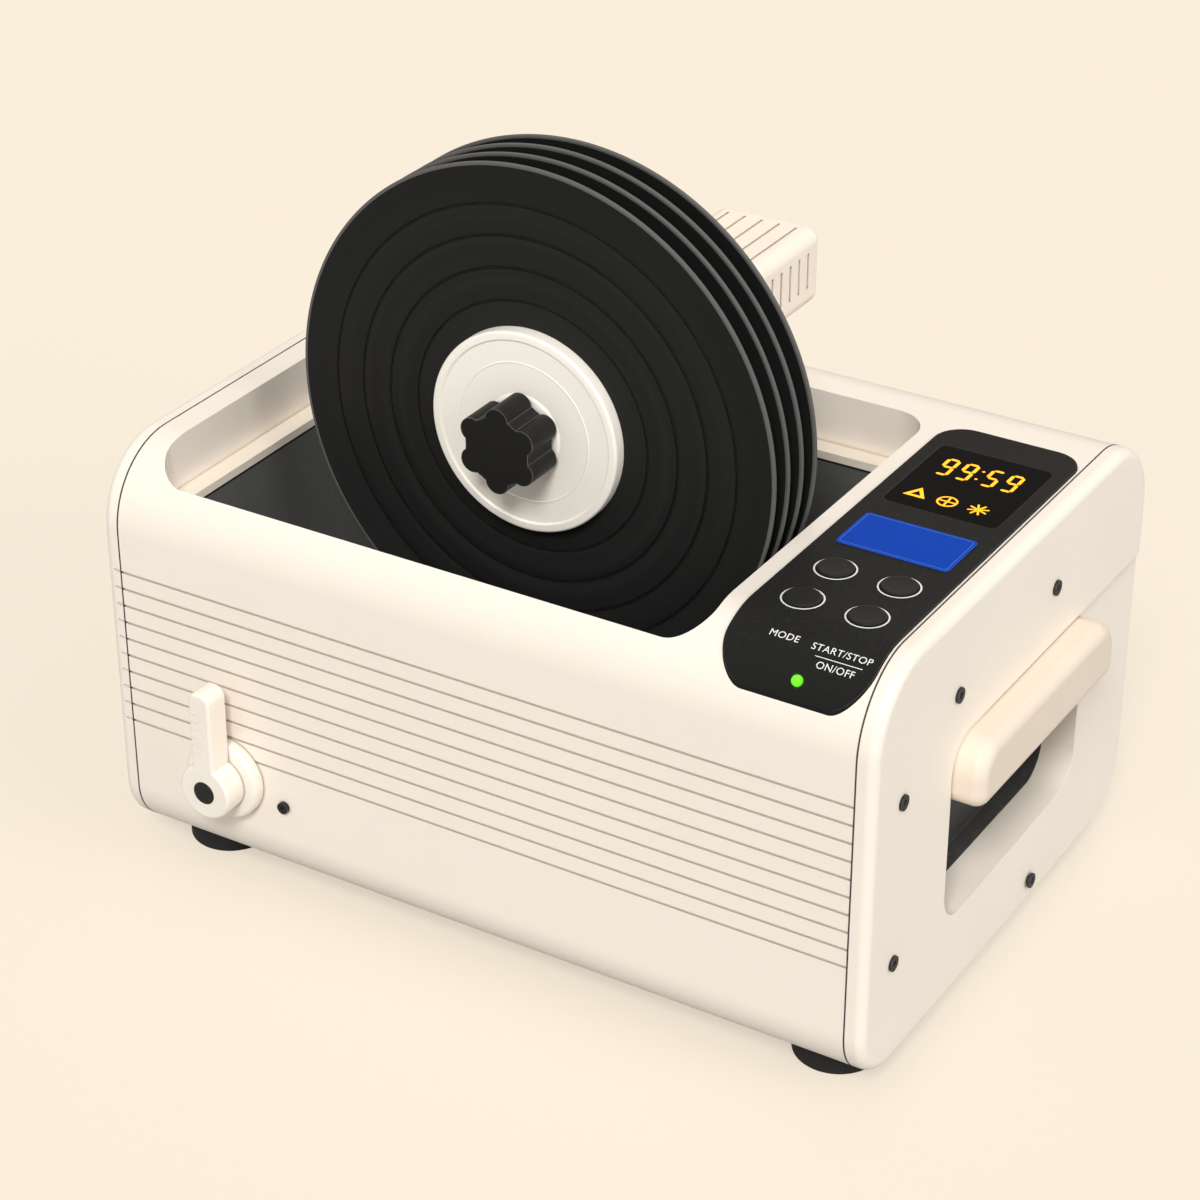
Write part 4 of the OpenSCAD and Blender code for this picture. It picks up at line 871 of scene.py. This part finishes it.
def makeDigits():
    low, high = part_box("display_window")
    x, z = (low.x + high.x) / 2, high.z - displayLook["sunk"]
    y = high.y - displayLook["digitsDown"] * (high.y - low.y)
    tall, wide, stroke = displayLook["digitHeight"], displayLook["digitWidth"], displayLook["stroke"]
    across = makeBar(wide - 2 * displayLook["gap"], stroke)
    upright = makeBar(tall / 2 - 2 * displayLook["gap"], stroke)
    turned = Matrix.Rotation(math.pi / 2, 4, "Z")
    spots = {"a": (across, 0, tall / 2), "g": (across, 0, 0), "d": (across, 0, -tall / 2),
             "b": (upright, wide / 2, tall / 4), "c": (upright, wide / 2, -tall / 4),
             "e": (upright, -wide / 2, -tall / 4), "f": (upright, -wide / 2, tall / 4)}
    parts = []
    for i, sign in enumerate(displayLook["text"], -2):
        if sign == ":":
            for side in (-1, 1):
                dot = makeBar(stroke * displayLook["dotLength"], stroke)
                dot.data.transform(Matrix.Translation((0, side * displayLook["dotUp"], 0)))
                parts.append(dot)
            continue
        reach = displayLook["colonHalf"] + displayLook["advance"] * (abs(i) - 0.5)
        shift = math.copysign(reach, i)
        for key in segmentsOf[sign]:
            bar, dx, dy = spots[key]
            turn = turned if bar is upright else Matrix.Identity(4)
            parts.append(placeCopy(bar, Matrix.Translation((shift + dx, dy, 0)) @ turn))
    for bar in (across, upright):
        bpy.data.objects.remove(bar)
    digits = joinPieces(parts)
    digits.data.transform(Matrix.Translation((x, y, z)))
    finishPrint(digits, "displayDigits", "amberLight")


def makeOutline(sides, radius, width, place):  # a flat outline with a round or three-sided shape
    pickOnly(None)
    bpy.ops.mesh.primitive_circle_add(vertices=sides, radius=radius, fill_type="NGON", location=place)
    outline = bpy.context.object
    keepPlace(outline)
    edit(outline)
    hollowOut(width)
    raiseFaces(displayLook["thick"])
    pickOnly(outline)
    return outline


def makeSigns():
    low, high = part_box("display_window")
    middle = Vector(((low.x + high.x) / 2 + signLook["shift"],
                     high.y - displayLook["signsDown"] * (high.y - low.y), high.z - displayLook["sunk"]))
    step = Vector((signLook["step"], 0, 0))
    triangle = makeOutline(3, signLook["triangle"], signLook["line"] * signLook["triangleLine"],
                           middle - step)
    wheel = makeOutline(48, signLook["wheel"], signLook["line"], middle)
    spoke = makeBar(2 * (signLook["wheel"] - signLook["line"]) + signLook["overlap"], signLook["line"])
    ray = makeBar(signLook["ray"], signLook["line"])
    spokes = [placeCopy(spoke, Matrix.Translation(middle) @ Matrix.Rotation(math.radians(angle), 4, "Z"))
              for angle in (0, 90)]
    rays = [placeCopy(ray, Matrix.Translation(middle + step) @ Matrix.Rotation(math.radians(angle), 4, "Z"))
            for angle in (22.5, 67.5, 112.5, 157.5)]
    for bar in (spoke, ray):
        bpy.data.objects.remove(bar)
    finishPrint(triangle, "signTriangle", "amberLight")
    finishPrint(joinPieces([wheel] + spokes), "signWheel", "amberLight")
    finishPrint(joinPieces(rays), "signStar", "amberLight")


# Blue plate: a fine line inside its edge
labelLook = {"inset": 0.0015, "corner": 0.0020, "width": 0.00035, "sunk": 0.00003, "thick": 0.00008}


def makeLabelLine():
    low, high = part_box("label_plate")
    centre, inset = (low + high) / 2, 2 * labelLook["inset"]
    pickOnly(None)
    bpy.ops.mesh.primitive_plane_add(size=1, location=(centre.x, centre.y, high.z - labelLook["sunk"]))
    line = bpy.context.object
    line.scale = (high.x - low.x - inset, high.y - low.y - inset, 1)
    keepPlace(line)
    edit(line, "VERT")
    bpy.ops.mesh.select_all(action="SELECT")
    bpy.ops.mesh.bevel(offset=labelLook["corner"], segments=6, affect="VERTICES")
    bpy.ops.mesh.select_mode(type="FACE")
    hollowOut(labelLook["width"])
    raiseFaces(labelLook["thick"])
    finishPiece(line, "labelEdgeLine", "housing", "blue_label")
    line.data.materials[0] = materials["labelLine"]


# Lamp's collar
collarLook = {"radius": 0.0036, "thick": 0.0005, "degrees": 50}  # degrees down the fold


def makeLampCollar():
    low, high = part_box("power_lamp")
    turn = Matrix.Rotation(math.radians(collarLook["degrees"]), 4, "X")
    fold = Matrix.Translation(((low.x + high.x) / 2, foldY, foldZ))
    pickOnly(None)
    bpy.ops.mesh.primitive_torus_add(major_radius=collarLook["radius"], minor_radius=collarLook["thick"],
                                     major_segments=64, minor_segments=12)
    collar = bpy.context.object
    collar.data.transform(fold @ turn @ Matrix.Translation((0, 0, foldRadius)))
    finishPiece(collar, "lampCollar", "housing", "black_panel", (), 80)


# Seal lines between the housing and its end caps
sealLook = {"width": 0.0009, "proud": 0.00010, "deep": 0.0020, "cornerReach": 0.001}


def makeSeals():
    low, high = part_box("housing_shell")
    middle, proud = (low + high) / 2, 2 * sealLook["proud"]

    def atCorner(vertex, upper):
        down = min(abs(vertex.co.z - low.z), abs(vertex.co.z - high.z))
        across = min(abs(vertex.co.y - low.y), abs(vertex.co.y - high.y))
        return (vertex.co.z > middle.z) == upper and max(down, across) < sealLook["cornerReach"]

    for name, x in (("leftSeal", low.x), ("rightSeal", high.x)):
        pickOnly(None)
        bpy.ops.mesh.primitive_plane_add(size=1, location=(x - sealLook["width"] / 2, middle.y, middle.z),
                                         rotation=(0, math.pi / 2, 0))
        seal = bpy.context.object
        seal.scale = (high.z - low.z + proud, high.y - low.y + proud, 1)
        keepPlace(seal)
        for radius, upper in ((upperCorner, True), (lowerCorner, False)):
            edit(seal, "VERT")
            pickWhere(seal, "verts", lambda v: atCorner(v, upper))
            bpy.ops.mesh.bevel(offset=radius, segments=24, affect="VERTICES")
        edit(seal)
        hollowOut(sealLook["deep"])
        bpy.ops.mesh.select_all(action="SELECT")
        bpy.ops.mesh.extrude_region_move(TRANSFORM_OT_translate={"value": (sealLook["width"], 0, 0)})
        finishPiece(seal, name, "housing", "black_rubber")
        seal.data.materials[0] = materials["sealRubber"]


addCamera()
addStudio()
addFloor()
print("camera, light and floor placed")
dressNodes()
print("nodes dressed")
makeRecords()
print("records made")
makeGuard("front_label_guard", "frontGuard", True)
makeGuard("rear_label_guard", "rearGuard", False)
print("label guards made")
makeButtons()
print("buttons made")
makeLettering()
print("lettering made")
makeDigits()
makeSigns()
print("display made")
makeLabelLine()
makeLampCollar()
makeSeals()
print("panel trim and seals made")

bpy.context.scene.view_settings.view_transform = "Standard"
